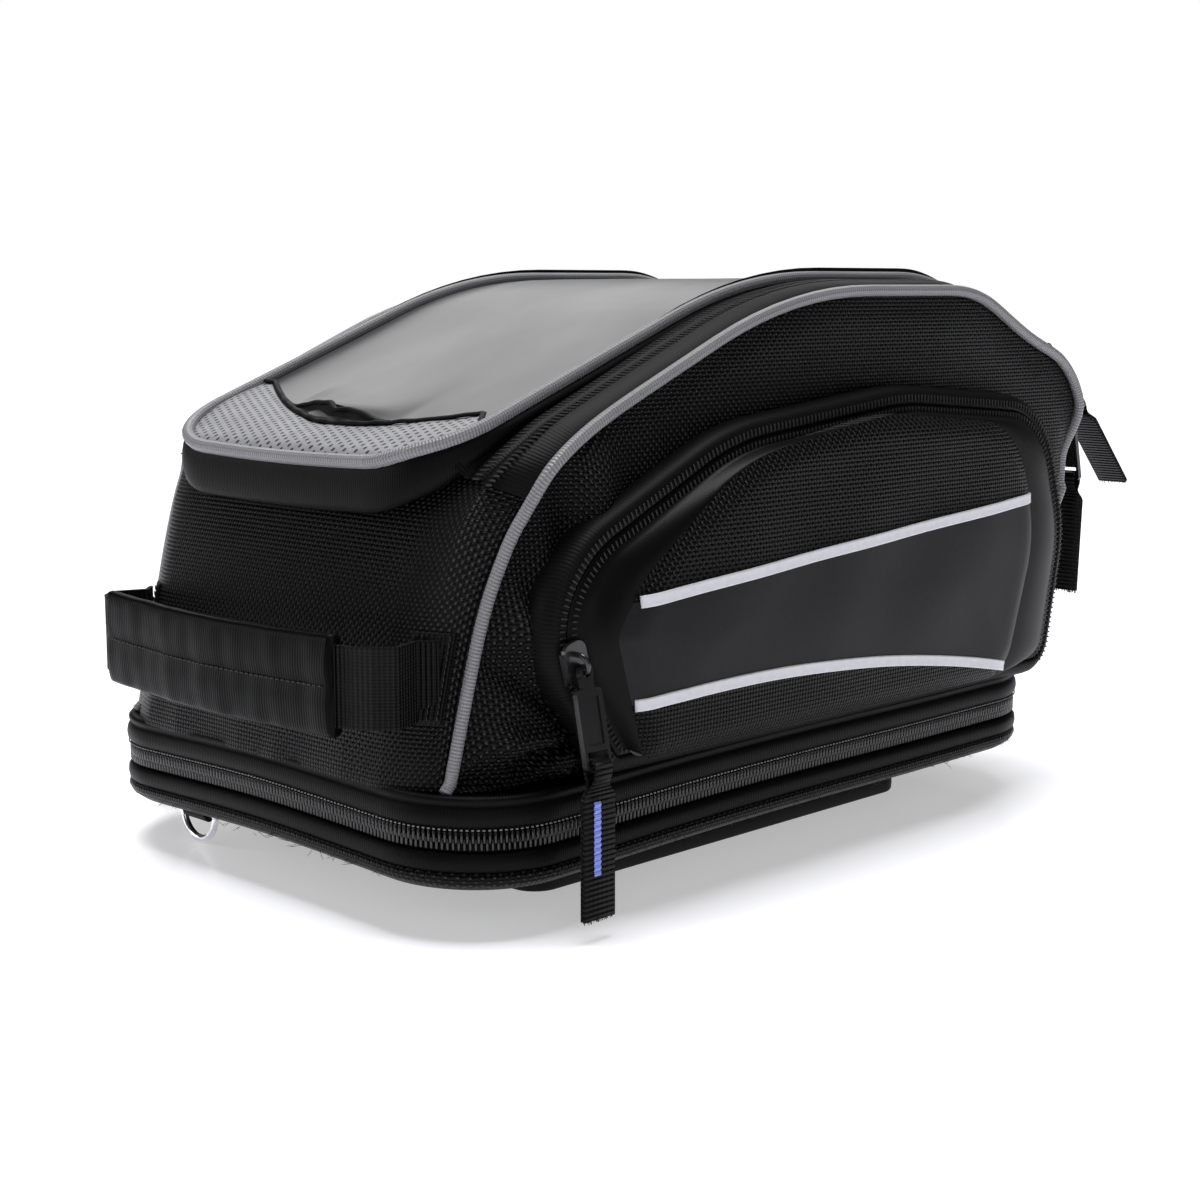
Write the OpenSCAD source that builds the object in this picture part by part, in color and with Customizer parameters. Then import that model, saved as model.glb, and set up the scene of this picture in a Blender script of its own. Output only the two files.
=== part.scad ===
// Expandable motorcycle tank bag: wedge-shaped soft case on a low base band,
// with a hinged map lid, two arched side pockets, a front carry handle,
// zip sliders with pulls, magnet flaps folded under the base and two D-rings.
// Millimetres. +Z is up, +X runs from the handle end to the high rear end,
// and Z = 0 is the resting plane at the middle of the base.

/* [Base] */
// Length of the base band
base_len = 370; // [330:1:410]
// Width of the base band
base_wid = 244; // [220:1:270]
// Corner radius of the base band
corner_r = 45; // [25:1:60]
// Height of the feet layer between the floor and the base band
foot_h = 26; // [20:1:34]
// Height of the base band, both ribbons and the zip together
band_h = 26; // [22:1:34]
// Thickness of the folded magnet flaps
flap_t = 9; // [6:0.5:12]

/* [Body] */
// Width of the upper case over the fabric
body_wid = 224; // [200:1:240]
// Height of the flat top above the floor
top_z = 230; // [200:1:260]
// Height of the front top edge above the floor
front_z = 164; // [140:1:185]
// Thickness of the outer fabric panels
fabric_t = 1.6; // [1:0.1:2.5]
// Thickness of the foam boards behind the fabric
foam_t = 4; // [3:0.5:6]
// Width of the grey piping
piping_w = 4.4; // [3:0.1:6]

/* [Lid] */
// Width of the lid over its border
lid_wid = 176; // [160:1:186]
// Width of the lid border around the window
lid_border_w = 15; // [10:1:20]
// Height of the lid above the flat top
lid_rise = 5; // [4:0.5:8]

/* [Side pockets] */
// Depth of the fixed pocket gusset, from the side panel to the zip
gusset_depth = 12; // [8:1:18]
// Depth of the moving pocket front, from the zip to the outer face
front_depth = 12; // [8:1:18]

/* [Handle] */
// Length of the grip
grip_len = 145; // [120:1:160]
// Height of the grip
grip_h = 37; // [30:1:42]
// Height of the handle webbing
webbing_h = 30; // [25:1:38]

/* [Zips] */
// Length of a zip slider
slider_len = 16; // [12:1:20]
// Length of a metal puller
puller_len = 38; // [30:1:45]
// Length of a webbing tab on a puller
tab_len = 56; // [40:1:70]
// Width of a webbing tab
tab_w = 16; // [12:1:20]

/* [Hidden] */

// Clearance between pieces that move apart, and between pieces sewn together.
gap = 0.4;
seam = 0.1;
// Steps in each rounded corner of a profile.
arc_steps = 5;

// Heights of the base band and its zip.
band_z0 = foot_h;
band_z1 = foot_h + band_h;
ribbon_h = 9;
ribbon_t = 2.4;
coil_h = (band_h - 2 * ribbon_h - 3 * gap) / 2;
lower_coil_z = band_z0 + ribbon_h + gap / 2;
upper_coil_z = lower_coil_z + coil_h + gap;
panel_t = 2;
board_t = 2;
flange_t = 1.2;
wall_z = band_z1 + flange_t;

// Layers of the side wall, measured in from the outer face.
foam_in = fabric_t + seam;
lining_in = foam_in + foam_t + seam;
lining_t = 0.8;
half_w = body_wid / 2;
lid_half = lid_wid / 2;
window_half = lid_half - lid_border_w;

// Side outline of the upper case as [x, z, corner radius], counter-clockwise.
case_z0 = band_z1 - 12;
case_outline = [[-189, case_z0, 1], [180, case_z0, 1], [230, 136, 60], [216, 196, 45],
    [126, top_z, 110], [0, top_z, 240], [-156, front_z, 45]];
// Side outline of the lid's top, thicker towards the front lip.
lid_outline = [[-172, front_z - 14, 1], [234, front_z - 14, 1], [222, 199, 48],
    [126, top_z + lid_rise, 110], [0, top_z + lid_rise, 240], [-170, front_z + 6, 12]];
lid_low_z = front_z - 13;
coil_end_x = 198;
hinge_x = 225.6;
hinge_z = 168;
lid_rear_z = hinge_z + 0.6;
hinge_roll_r = 1.8;

// Arched outlines of a side pocket as [x, z, corner radius], counter-clockwise.
gusset_outline = [[-116, 54, 10], [176, 54, 18], [190, 120, 60], [170, 182, 45],
    [60, 191, 150], [-50, 180, 120], [-126, 145, 50], [-156, 112, 40]];
front_outline = [[-107, 58, 8], [126, 58, 20], [146, 120, 50], [132, 172, 40],
    [40, 180, 150], [-50, 167, 100], [-106, 128, 40], [-121, 108, 8]];
zip_y = half_w + gusset_depth;
front_y = zip_y + gap + front_depth;
skin_t = 2;

// A corner of a convex outline moved in by d, with its arc drawn in steps.
function edge_normal(a, b) = let (e = b - a) [-e[1], e[0]] / norm(e);
function corner_points(cs, i, d) =
    let (
        n = len(cs),
        p = [cs[i][0], cs[i][1]],
        before = [cs[(i + n - 1) % n][0], cs[(i + n - 1) % n][1]],
        after = [cs[(i + 1) % n][0], cs[(i + 1) % n][1]],
        n1 = edge_normal(before, p),
        n2 = edge_normal(p, after),
        r = max(cs[i][2] - d, 0.2),
        centre = p + (d + r) * (n1 + n2) / (1 + n1 * n2),
        start = atan2(-n1[1], -n1[0]),
        turn = acos(n1 * n2)
    )
    [for (k = [0:arc_steps]) let (a = start + turn * k / arc_steps)
        centre + r * [cos(a), sin(a)]];
function rounded(cs, d = 0) = [for (i = [0:len(cs) - 1]) each corner_points(cs, i, d)];

function xz(c) = [c[0], c[1]];
// The centre of an outline's rounded corner i.
function corner_centre(cs, i) =
    let (n = len(cs), p = xz(cs[i]), n1 = edge_normal(xz(cs[(i + n - 1) % n]), p),
        n2 = edge_normal(p, xz(cs[(i + 1) % n])))
    p + cs[i][2] * (n1 + n2) / (1 + n1 * n2);

// The outline in X and Z, carried across from y0 to y1.
module across(cs, d, y0, y1) {
    translate([0, y1, 0]) rotate([90, 0, 0]) linear_extrude(y1 - y0) polygon(rounded(cs, d));
}

// A rounded rectangle standing on z0, from [x0, x1] by [y0, y1].
module slab(x0, x1, y0, y1, z0, z1, r) {
    box = [[x0, y0, r], [x1, y0, r], [x1, y1, r], [x0, y1, r]];
    translate([0, 0, z0]) linear_extrude(z1 - z0) polygon(rounded(box, 0));
}

module base_slab(d, z0, z1) {
    box = [for (s = [[-1, -1], [1, -1], [1, 1], [-1, 1]])
        [s[0] * base_len / 2, s[1] * base_wid / 2, corner_r]];
    translate([0, 0, z0]) linear_extrude(z1 - z0) polygon(rounded(box, d));
}

module base_ring(d0, d1, z0, z1) {
    difference() {
        base_slab(d0, z0, z1);
        base_slab(d1, z0 - 1, z1 + 1);
    }
}

// The case as a solid with every face moved in by d.
module case_solid(d) across(case_outline, d, d - half_w, half_w - d);

module box(x0, x1, y0, y1, z0, z1) translate([x0, y0, z0]) cube([x1 - x0, y1 - y0, z1 - z0]);

// A wall layer between two depths, open underneath, standing on the flange.
module wall(d0, d1) {
    intersection() {
        difference() {
            case_solid(d0);
            case_solid(d1);
        }
        box(-300, 300, -200, 200, wall_z, 300);
    }
}

// The plan of the lid's opening in the case top.
open_x0 = -140;
open_x1 = 188;
open_half = 78;
module opening() slab(open_x0, open_x1, -open_half, open_half, 120, 300, 18);

// ---- Base -----------------------------------------------------------------

module base_pad() color("dimgray") {
    slab(-150, 150, -84, 84, flap_t + 1, band_z0 - seam, 25);
    slab(-118, 118, -30, 30, 0, flap_t + 1, 12);
}

module base_panel() color("black") base_slab(ribbon_t + seam, band_z0, band_z0 + panel_t);

module base_board() color("dimgray")
    base_slab(12, band_z0 + panel_t + seam, band_z0 + panel_t + seam + board_t);

module lower_ribbon() color("black") base_ring(0, ribbon_t, band_z0, band_z0 + ribbon_h);

module lower_coil() color("black") base_ring(0.8, 3.6, lower_coil_z, lower_coil_z + coil_h);

// Webbing loop that carries a D-ring under the base panel at [x, y].
ring_bar_z = 14.5;
ring_wire = 1.5;
ring_half = 11.5;
ring_x_front = -166;
ring_x_rear = 166;
ring_y = 68;
module ring_tabs() color("black") for (x = [ring_x_front, ring_x_rear])
    translate([x, ring_y, 0]) difference() {
        box(-3.4, 3.4, -8, 8, ring_bar_z - 3.4, band_z0 - seam);
        translate([0, 20, ring_bar_z]) rotate([90, 0, 0])
            cylinder(h = 40, r = ring_wire + gap, $fn = 48);
    }

// ---- Upper case -----------------------------------------------------------

module upper_ribbon() color("black") {
    base_ring(0, ribbon_t, band_z1 - ribbon_h, band_z1);
    difference() {
        box(-186, 186, -half_w, half_w, band_z1, wall_z);
        base_slab(7, band_z1 - 1, wall_z + 1);
    }
}

module upper_coil() color("black") base_ring(0.8, 3.6, upper_coil_z, upper_coil_z + coil_h);

// Folded ring of fabric behind the zip that opens up when the case is raised.
module gusset() color("darkslategray")
    base_ring(4.4, 6.4, band_z0 + panel_t + seam, band_z1 - seam);

module side_panel(s) color("black") intersection() {
    wall(0, fabric_t);
    box(-300, 300, s < 0 ? -200 : half_w - fabric_t, s < 0 ? fabric_t - half_w : 200, 0, 300);
}

// The strip between the side panels runs up the front, over the top and down the rear.
front_split_z = 140;
rear_split_z = 160;
module strip() intersection() {
    wall(0, fabric_t);
    box(-300, 300, seam - half_w + fabric_t, half_w - fabric_t - seam, 0, 300);
}
module front_panel() color("black") intersection() {
    strip();
    box(-300, 0, -200, 200, 0, front_split_z - seam);
}
module rear_panel() color("black") intersection() {
    strip();
    box(0, 300, -200, 200, 0, rear_split_z - seam);
}
module top_frame() color("black") difference() {
    strip();
    box(-300, 0, -200, 200, 0, front_split_z);
    box(0, 300, -200, 200, 0, rear_split_z);
    opening();
}

module lining() color("darkslategray") difference() {
    wall(lining_in, lining_in + lining_t);
    opening();
}

module foam_boards() color("dimgray") difference() {
    wall(foam_in, foam_in + foam_t);
    opening();
}

module piping(s) color("silver") {
    y0 = s < 0 ? -half_w - piping_w / 2 : half_w + seam;
    difference() {
        across(case_outline, -piping_w / 2, y0, y0 + piping_w / 2 - seam);
        across(case_outline, piping_w / 2, y0 - 1, y0 + piping_w + 1);
        box(-300, 300, -200, 200, 0, wall_z + 4);
    }
}

// Folded webbing ends sewn to the rear panel near its corners.
stub_y = 104;
module webbing_stubs() color("black") for (s = [-1, 1]) difference() {
    box(210.6, 213.2, s * stub_y - 6, s * stub_y + 6, 66, 104);
    case_solid(-seam);
}

// Zip track on the case top, outside the lid's border on both sides.
coil_y0 = lid_half + 8;
coil_y1 = coil_y0 + 4.5;
coil_t = 1.6;
module track(y0, y1, t0, t1) difference() {
    across(case_outline, -t1, y0, y1);
    across(case_outline, -t0, y0 - 1, y1 + 1);
    box(-300, 0, -200, 200, 0, front_z);
    box(0, 300, -200, 200, 0, hinge_z - 6);
}
module top_coil() color("black") for (s = [-1, 1])
    track(s < 0 ? -coil_y1 : coil_y0, s < 0 ? -coil_y0 : coil_y1, seam, coil_t);

// Sewn ends of the handle on the front panel.
patch_y = 100;
module handle_patches() color("black") for (s = [-1, 1]) difference() {
    intersection() {
        across(case_outline, -2, s * patch_y - 8, s * patch_y + 8);
        box(-300, 0, -200, 200, handle_z - webbing_h / 2, handle_z + webbing_h / 2);
    }
    across(case_outline, -seam, -200, 200);
}

// ---- Side pockets ---------------------------------------------------------

// Everything on the left is drawn at -Y and mirrored for the right.
module side(s) if (s < 0) children(); else mirror([0, 1, 0]) children();

module pocket_ring(cs, d, t, y0, y1) difference() {
    across(cs, d, -y1, -y0);
    across(cs, d + t, -y1 - 1, -y0 + 1);
}

module pocket_gusset(s) color("black") side(s) {
    pocket_ring(gusset_outline, 0, skin_t, half_w + seam, zip_y - skin_t);
    difference() {
        across(gusset_outline, 0, -zip_y, -zip_y + skin_t);
        across(front_outline, 3.2, -zip_y - 1, -zip_y + skin_t + 1);
    }
}

pocket_coil_t = 1.4;
zip_inset = 7;
module pocket_coil(s) color("black") side(s) difference() {
    pocket_ring(gusset_outline, zip_inset - 1.5, 3, zip_y + seam, zip_y + seam + pocket_coil_t);
    across(front_outline, -1, -200, 0);
}

module pocket_front(s) color("black") side(s) {
    pocket_ring(front_outline, 0, skin_t, zip_y + 2 * gap, front_y - skin_t);
    across(front_outline, 0, -front_y, -front_y + skin_t);
}

// Two reflective strips across the pocket's face, the upper one rising to the rear.
strip_w = 5;
module pocket_trim(s) color("silver") side(s) intersection() {
    union() {
        for (bar = [[-120, 119, 20, 139], [-118, 84, -8, 66]])
            translate([bar[0], -front_y - seam, bar[1]])
                rotate([0, -atan2(bar[3] - bar[1], 260), 0])
                    translate([0, -1, 0]) cube([270, 1, strip_w]);
    }
    across(front_outline, 3, -front_y - 3, 0);
}

// ---- Lid ------------------------------------------------------------------

// Lid solid: between the case top and the lid outline, cut at the lip and at the hinge.
module lid_solid(d) difference() {
    across(lid_outline, d, -lid_half, lid_half);
    across(case_outline, -gap, -200, 200);
    box(-300, 0, -200, 200, 0, lid_low_z);
    box(0, 300, -200, 200, 0, lid_rear_z);
}
window_x0 = -152;
window_x1 = 186;
mouth_x = -96;
module window_area(d, x0 = window_x0, x1 = window_x1)
    slab(x0 + d, x1 - d, d - window_half, window_half - d, 100, 300, 12);

module lid_border() color("black") {
    difference() {
        lid_solid(0);
        window_area(0);
    }
    translate([hinge_x, lid_half, hinge_z]) rotate([90, 0, 0])
        cylinder(h = lid_wid, r = hinge_roll_r, $fn = 48);
}

module lid_piping() color("silver") intersection() {
    difference() {
        across(lid_outline, -piping_w / 2, -lid_half, lid_half);
        across(lid_outline, -seam, -200, 200);
        across(case_outline, -gap, -200, 200);
    }
    difference() {
        window_area(-piping_w);
        window_area(0);
    }
}

// Lid half of the lid zip: a tape and a coil down each side.
module lid_coil() color("black") for (s = [-1, 1]) difference() {
    track(s < 0 ? -coil_y0 + gap : lid_half + seam, s < 0 ? -lid_half - seam : coil_y0 - gap,
        gap, coil_t);
    box(coil_end_x, 300, -200, 200, 0, 300);
}

// A sheet that follows the lid's top, between depths t0 and t1.
module lid_sheet(t0, t1, x0, x1) intersection() {
    difference() {
        across(lid_outline, t0, -200, 200);
        across(lid_outline, t1, -200, 200);
        across(case_outline, -gap, -200, 200);
    }
    window_area(seam, x0, x1);
}
module map_window() color("lightgray") lid_sheet(-1.6, -0.6, mouth_x + 4, window_x1);
module mesh_insert() color("silver") lid_sheet(-0.8, 0.4, window_x0, mouth_x);
module mouth_binding() color("black") intersection() {
    lid_sheet(-1.8, 0.4, mouth_x - 20, mouth_x + 24);
    box(mouth_x + seam, mouth_x + 4 - seam, -200, 200, 0, 300);
}
module map_backing() color("dimgray") lid_sheet(1.6, 2.8, window_x0, window_x1);

// ---- Handle ---------------------------------------------------------------

handle_z = 93;
handle_axis_x = -187;
grip_x = -204;
grip_t = 6;
patch_front_x = -179;
module handle_grip() color("black") translate([grip_x, 0, handle_z]) difference() {
    rotate([0, 90, 0]) linear_extrude(grip_t)
        polygon(rounded([[-grip_h / 2, -grip_len / 2, 9], [grip_h / 2, -grip_len / 2, 9],
            [grip_h / 2, grip_len / 2, 9], [-grip_h / 2, grip_len / 2, 9]]));
    box(grip_t / 2 - 1, grip_t / 2 + 1, -grip_len, grip_len, -webbing_h / 2, webbing_h / 2);
}
module handle_webbing() color("black") {
    translate([grip_x + grip_t / 2, 0, handle_z])
        box(-0.9, 0.9, -grip_len / 2 - 1, grip_len / 2 + 1, seam - webbing_h / 2, webbing_h / 2 - seam);
    for (s = [-1, 1])
        translate([0, 0, handle_z - webbing_h / 2]) linear_extrude(webbing_h)
            polygon([[grip_x + 2.1, s * (grip_len / 2 + 1)], [grip_x + 3.9, s * (grip_len / 2 + 1)],
                [handle_axis_x + 2, s * (patch_y + 4)], [handle_axis_x, s * (patch_y + 4)]]);
}

// ---- Zip sliders and pulls ------------------------------------------------

// Places children with local X along u and local Z along w at point p.
module place(p, u, w) {
    v = cross(w, u);
    multmatrix([[u[0], v[0], w[0], p[0]], [u[1], v[1], w[1], p[1]], [u[2], v[2], w[2], p[2]]])
        children();
}

slider_w = 11;
plate_t = 1.6;
channel_h = 3.2;
rail_t = 1.2;
bail_r = 3.4;
bail_wire = 1;
bail_leg = 2;
bail_z = channel_h + plate_t + bail_leg;
// Slider: a top plate with two side rails over the track and a round bail on top.
module slider() color("dimgray") {
    slab(-slider_len / 2, slider_len / 2, -slider_w / 2, slider_w / 2, channel_h, channel_h + plate_t, 4);
    for (s = [-1, 1])
        box(1 - slider_len / 2, slider_len / 2 - 3, s * (slider_w - rail_t) / 2 - rail_t / 2,
            s * (slider_w - rail_t) / 2 + rail_t / 2, 2, channel_h);
    for (s = [-1, 1])
        translate([s * bail_r, 0, bail_z - bail_leg - 0.5])
            cylinder(h = bail_leg + 0.5, r = bail_wire, $fn = 48);
    translate([0, 0, bail_z]) rotate([90, 0, 0]) rotate_extrude(angle = 180, $fn = 48)
        translate([bail_r, 0]) circle(r = bail_wire, $fn = 48);
}

// Puller: turns about the origin and points along +X, flat in XY, with an eye
// round the bail's wire, a recessed plate and a slot for the tab.
puller_w = 12;
puller_t = 2.4;
eye_r = 1.7;
eye_wall = 3.2;
slot_w = 5;
bar_w = 1.6;
bar_x = puller_len - bar_w / 2;
module puller() color("dimgray") difference() {
    union() {
        translate([bail_r, 0, -puller_t / 2]) cylinder(h = puller_t, r = eye_wall, $fn = 48);
        slab(bail_r, 12, -2.6, 2.6, -puller_t / 2, puller_t / 2, 0.5);
        slab(9, puller_len, -puller_w / 2, puller_w / 2, -puller_t / 2, puller_t / 2, 1.5);
    }
    translate([bail_r, 0, -5]) cylinder(h = 10, r = eye_r, $fn = 48);
    box(12, bar_x - slot_w - 3, -3.8, 3.8, puller_t / 2 - 0.6, 5);
    box(puller_len - bar_w - slot_w, puller_len - bar_w, -4.7, 4.7, -5, 5);
}

// Webbing tab: a loop round the puller's bar and two plies sewn flat below it.
loop_in = 2.8;
loop_out = 3.8;
tab_t = 2.6;
module tab() color("black") {
    difference() {
        union() {
            rotate([90, 0, 0]) cylinder(h = 4, r = loop_out, center = true, $fn = 48);
            box(0, 6, -2, 2, -tab_t / 2, tab_t / 2);
        }
        rotate([90, 0, 0]) cylinder(h = 6, r = loop_in, center = true, $fn = 48);
    }
    slab(6, tab_len, -tab_w / 2, tab_w / 2, -tab_t / 2, tab_t / 2, 1.5);
}

// Unit vector at an angle in the XZ plane.
function dir(a) = [cos(a), 0, sin(a)];

// A pull turned to angle a in a plane of constant Y, hinged at p.
module pull_in_xz(p, a) place(p, dir(a), dir(a + 90)) children();

// Lid sliders ride the case's rear top arc, on the left track.
arc_r = case_outline[3][2];
arc_centre = corner_centre(case_outline, 3);
lid_track_y = -(coil_y0 + 0.2);
lid_a = 48;
lid_b = 14;
lid_pull_a = -45.5;
lid_pull_b = -77;
lid_tab_b = -93;
function arc_point(a, r) = [arc_centre[0] + r * cos(a), lid_track_y, arc_centre[1] + r * sin(a)];
module lid_slider(a) place(arc_point(a, arc_r), dir(a + 90), dir(a)) slider();
module lid_puller(a, pull) pull_in_xz(arc_point(a, arc_r + bail_z), pull) puller();
module lid_tab(a, pull, hang)
    pull_in_xz(arc_point(a, arc_r + bail_z) + bar_x * dir(pull), hang) tab();

module slider_lid_a() lid_slider(lid_a);
module puller_lid_a() lid_puller(lid_a, lid_pull_a);
module tab_lid_a() lid_tab(lid_a, lid_pull_a, lid_pull_a);
module slider_lid_b() lid_slider(lid_b);
module puller_lid_b() lid_puller(lid_b, lid_pull_b);
module tab_lid_b() lid_tab(lid_b, lid_pull_b, lid_tab_b);

// Pocket sliders ride the gusset's front corner, whose zip is an arc.
pocket_arc = corner_centre(gusset_outline, 7);
pocket_arc_r = gusset_outline[7][2] - zip_inset;
pocket_a = 195;
pull_tilt = 12;
pull_twist = -15;
pocket_slider_y = -(zip_y + seam);
pocket_out = dir(pocket_a);
pocket_down = dir(pocket_a + 90);
pocket_at = [pocket_arc[0], pocket_slider_y, pocket_arc[1]] + pocket_arc_r * pocket_out;
pocket_hinge = pocket_at + [0, -bail_z, 0];
pocket_dir = cos(pull_tilt) * pocket_down + [0, -sin(pull_tilt), 0];
pocket_normal = [0, -cos(pull_tilt), 0] - sin(pull_tilt) * pocket_down;
pocket_cross = cross(pocket_normal, pocket_dir);
bar_local = [bail_r, 0] + (bar_x - bail_r) * [cos(pull_twist), sin(pull_twist)];
pocket_bar = pocket_hinge + bar_local[0] * pocket_dir + bar_local[1] * pocket_cross;
module pocket_slider(s) side(s) place(pocket_at, -pocket_down, [0, -1, 0]) slider();
module pocket_puller(s) side(s) place(pocket_hinge, pocket_dir, pocket_normal)
    translate([bail_r, 0, 0]) rotate([0, 0, pull_twist]) translate([-bail_r, 0, 0]) puller();
module pocket_tab(s) side(s) place(pocket_bar, [0, 0, -1], [0, -1, 0]) tab();

base_slider_x = base_len / 2 - 1;
base_slider_z = band_z0 + band_h / 2;
module slider_base() place([base_slider_x, 0, base_slider_z], [0, 1, 0], [1, 0, 0]) slider();
base_tilt = 20;
base_hinge = [base_slider_x + bail_z, 0, base_slider_z];
base_dir = [sin(base_tilt), cos(base_tilt), 0];
base_normal = [cos(base_tilt), -sin(base_tilt), 0];
module puller_base() place(base_hinge, base_dir, base_normal) puller();
module tab_base() place(base_hinge + bar_x * base_dir, base_dir, base_normal) tab();

// ---- D-rings and magnet flaps ---------------------------------------------

module d_ring(x) color("lightgray") translate([x, ring_y, ring_bar_z]) {
    translate([0, ring_half, 0]) rotate([90, 0, 0])
        cylinder(h = 2 * ring_half, r = ring_wire, $fn = 48);
    for (s = [-1, 1]) translate([0, s * ring_half, 0]) sphere(r = ring_wire, $fn = 48);
    rotate([0, 0, 90]) rotate([-90, 0, 0]) rotate_extrude(angle = 180, $fn = 96)
        translate([ring_half, 0]) circle(r = ring_wire, $fn = 48);
}

flap_x = 118;
flap_y0 = 34;
flap_y1 = 85.5;
flap_axis_y = 86;
flap_roll_r = 1.4;
magnet_r = 15;
magnet_t = 4;
magnet_y = 59;
magnet_pitch = 76;
module flap(s) color("dimgray") side(s) {
    difference() {
        slab(-flap_x, flap_x, -flap_y1, -flap_y0, 0, flap_t, 12);
        for (i = [-1:1]) translate([i * magnet_pitch, -magnet_y, flap_t / 2 - magnet_t / 2 - seam])
            cylinder(h = magnet_t + 2 * seam, r = magnet_r + seam, $fn = 96);
    }
    translate([14 - flap_x, -flap_axis_y, flap_t]) rotate([0, 90, 0])
        cylinder(h = 2 * (flap_x - 14), r = flap_roll_r, $fn = 48);
}
module magnets(s) color("silver") side(s) for (i = [-1:1])
    translate([i * magnet_pitch, -magnet_y, flap_t / 2 - magnet_t / 2])
        cylinder(h = magnet_t, r = magnet_r, $fn = 96);

// ---- Nodes ----------------------------------------------------------------

base_pad();
base_panel();
base_board();
lower_ribbon();
lower_coil();
ring_tabs();
webbing_stubs();
upper_ribbon();
upper_coil();
gusset();
side_panel(-1);  // side_left
side_panel(1);  // side_right
front_panel();
rear_panel();
top_frame();
lining();
foam_boards();
piping(-1);  // piping_left
piping(1);  // piping_right
top_coil();
handle_patches();
pocket_gusset(-1);  // pocket_gusset_left
pocket_gusset(1);  // pocket_gusset_right
pocket_coil(-1);  // pocket_coil_left
pocket_coil(1);  // pocket_coil_right
lid_border();
lid_piping();
lid_coil();
map_window();
mesh_insert();
map_backing();
mouth_binding();
pocket_front(-1);  // pocket_front_left
pocket_front(1);  // pocket_front_right
pocket_trim(-1);  // pocket_trim_left
pocket_trim(1);  // pocket_trim_right
handle_grip();
handle_webbing();
slider_lid_a();
puller_lid_a();
tab_lid_a();
slider_lid_b();
puller_lid_b();
tab_lid_b();
pocket_slider(-1);  // slider_pocket_left
pocket_puller(-1);  // puller_pocket_left
pocket_tab(-1);  // tab_pocket_left
pocket_slider(1);  // slider_pocket_right
pocket_puller(1);  // puller_pocket_right
pocket_tab(1);  // tab_pocket_right
slider_base();
puller_base();
tab_base();
d_ring(ring_x_front);  // ring_front
d_ring(ring_x_rear);  // ring_rear
flap(-1);  // flap_left
flap(1);  // flap_right
magnets(-1);  // magnets_left
magnets(1);  // magnets_right
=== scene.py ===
"""Looks of an expandable motorcycle tank bag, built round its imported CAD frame.

Shapes are worked out in millimetres in the model's frame and scaled to metres in piece().
"""

import math
import random

import bpy
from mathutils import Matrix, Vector


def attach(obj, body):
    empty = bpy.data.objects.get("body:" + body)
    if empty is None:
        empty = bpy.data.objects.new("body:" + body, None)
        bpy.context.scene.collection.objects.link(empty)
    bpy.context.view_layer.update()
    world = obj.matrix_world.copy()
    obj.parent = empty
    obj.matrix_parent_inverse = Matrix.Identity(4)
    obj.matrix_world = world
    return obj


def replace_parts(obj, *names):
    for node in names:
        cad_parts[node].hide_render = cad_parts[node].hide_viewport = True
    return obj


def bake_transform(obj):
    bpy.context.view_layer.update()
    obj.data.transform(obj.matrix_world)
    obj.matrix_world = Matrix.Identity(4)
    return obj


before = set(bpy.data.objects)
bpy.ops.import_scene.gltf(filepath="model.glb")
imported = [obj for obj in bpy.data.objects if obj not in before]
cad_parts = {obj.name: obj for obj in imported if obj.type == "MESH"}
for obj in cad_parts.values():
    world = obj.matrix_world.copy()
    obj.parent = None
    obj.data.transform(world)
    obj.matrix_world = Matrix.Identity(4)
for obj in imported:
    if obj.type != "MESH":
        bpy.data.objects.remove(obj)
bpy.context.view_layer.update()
MM = 0.001
RNG = random.Random(7)

# ---- The part's own dimensions, in millimetres ------------------------------

BASE_LEN, BASE_WID, CORNER_R = 370, 244, 45
HALF_W = 112
FOOT_Z = 53.5  # where the upper case meets the base band
LID_HALF, LID_CORNER, LIP_BOW = 88, 36, 3.5
CASE_OUTLINE = [(-189, 40, 1), (180, 40, 1), (230, 136, 60), (216, 196, 45),
                (126, 230, 110), (0, 230, 240), (-156, 164, 45)]
LID_OUTLINE = [(-172, 150, 1), (234, 150, 1), (222, 199, 48), (126, 235, 110),
               (0, 235, 240), (-170, 170, 12)]
GUSSET_OUTLINE = [(-116, 54, 10), (176, 54, 18), (190, 120, 60), (170, 182, 45),
                  (60, 191, 150), (-50, 180, 120), (-126, 145, 50), (-156, 112, 40)]
FACE_OUTLINE = [(-107, 60, 8), (128, 60, 20), (148, 120, 50), (134, 172, 40),
                (40, 181, 150), (-50, 168, 100), (-106, 129, 40), (-121, 108, 8)]
POCKET_IN = HALF_W + 12
FACE_OUT = 136.4
ZIP_INSET = 7
HANDLE_Z, GRIP_X, GRIP_HALF = 93, -204, 72.5
BAR_X, BAIL_R, BAIL_Z = 37.2, 3.4, 6.8
TIP = 0.9996  # share of the way to a centre at which a closed sheet of rings ends


# ---- Plane outlines ---------------------------------------------------------

def lerp(a, b, t):
    """The point a share t of the way from a to b."""
    return tuple(p + (q - p) * t for p, q in zip(a, b))


def ease(t):
    """Smooth step: 0 up to t = 0, 1 from t = 1 on."""
    t = min(1.0, max(0.0, t))
    return t * t * (3 - 2 * t)


def edge_normal(a, b):
    """Inward normal of a side, for corners that run anticlockwise."""
    length = math.dist(a[:2], b[:2])
    return (a[1] - b[1]) / length, (b[0] - a[0]) / length


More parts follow.
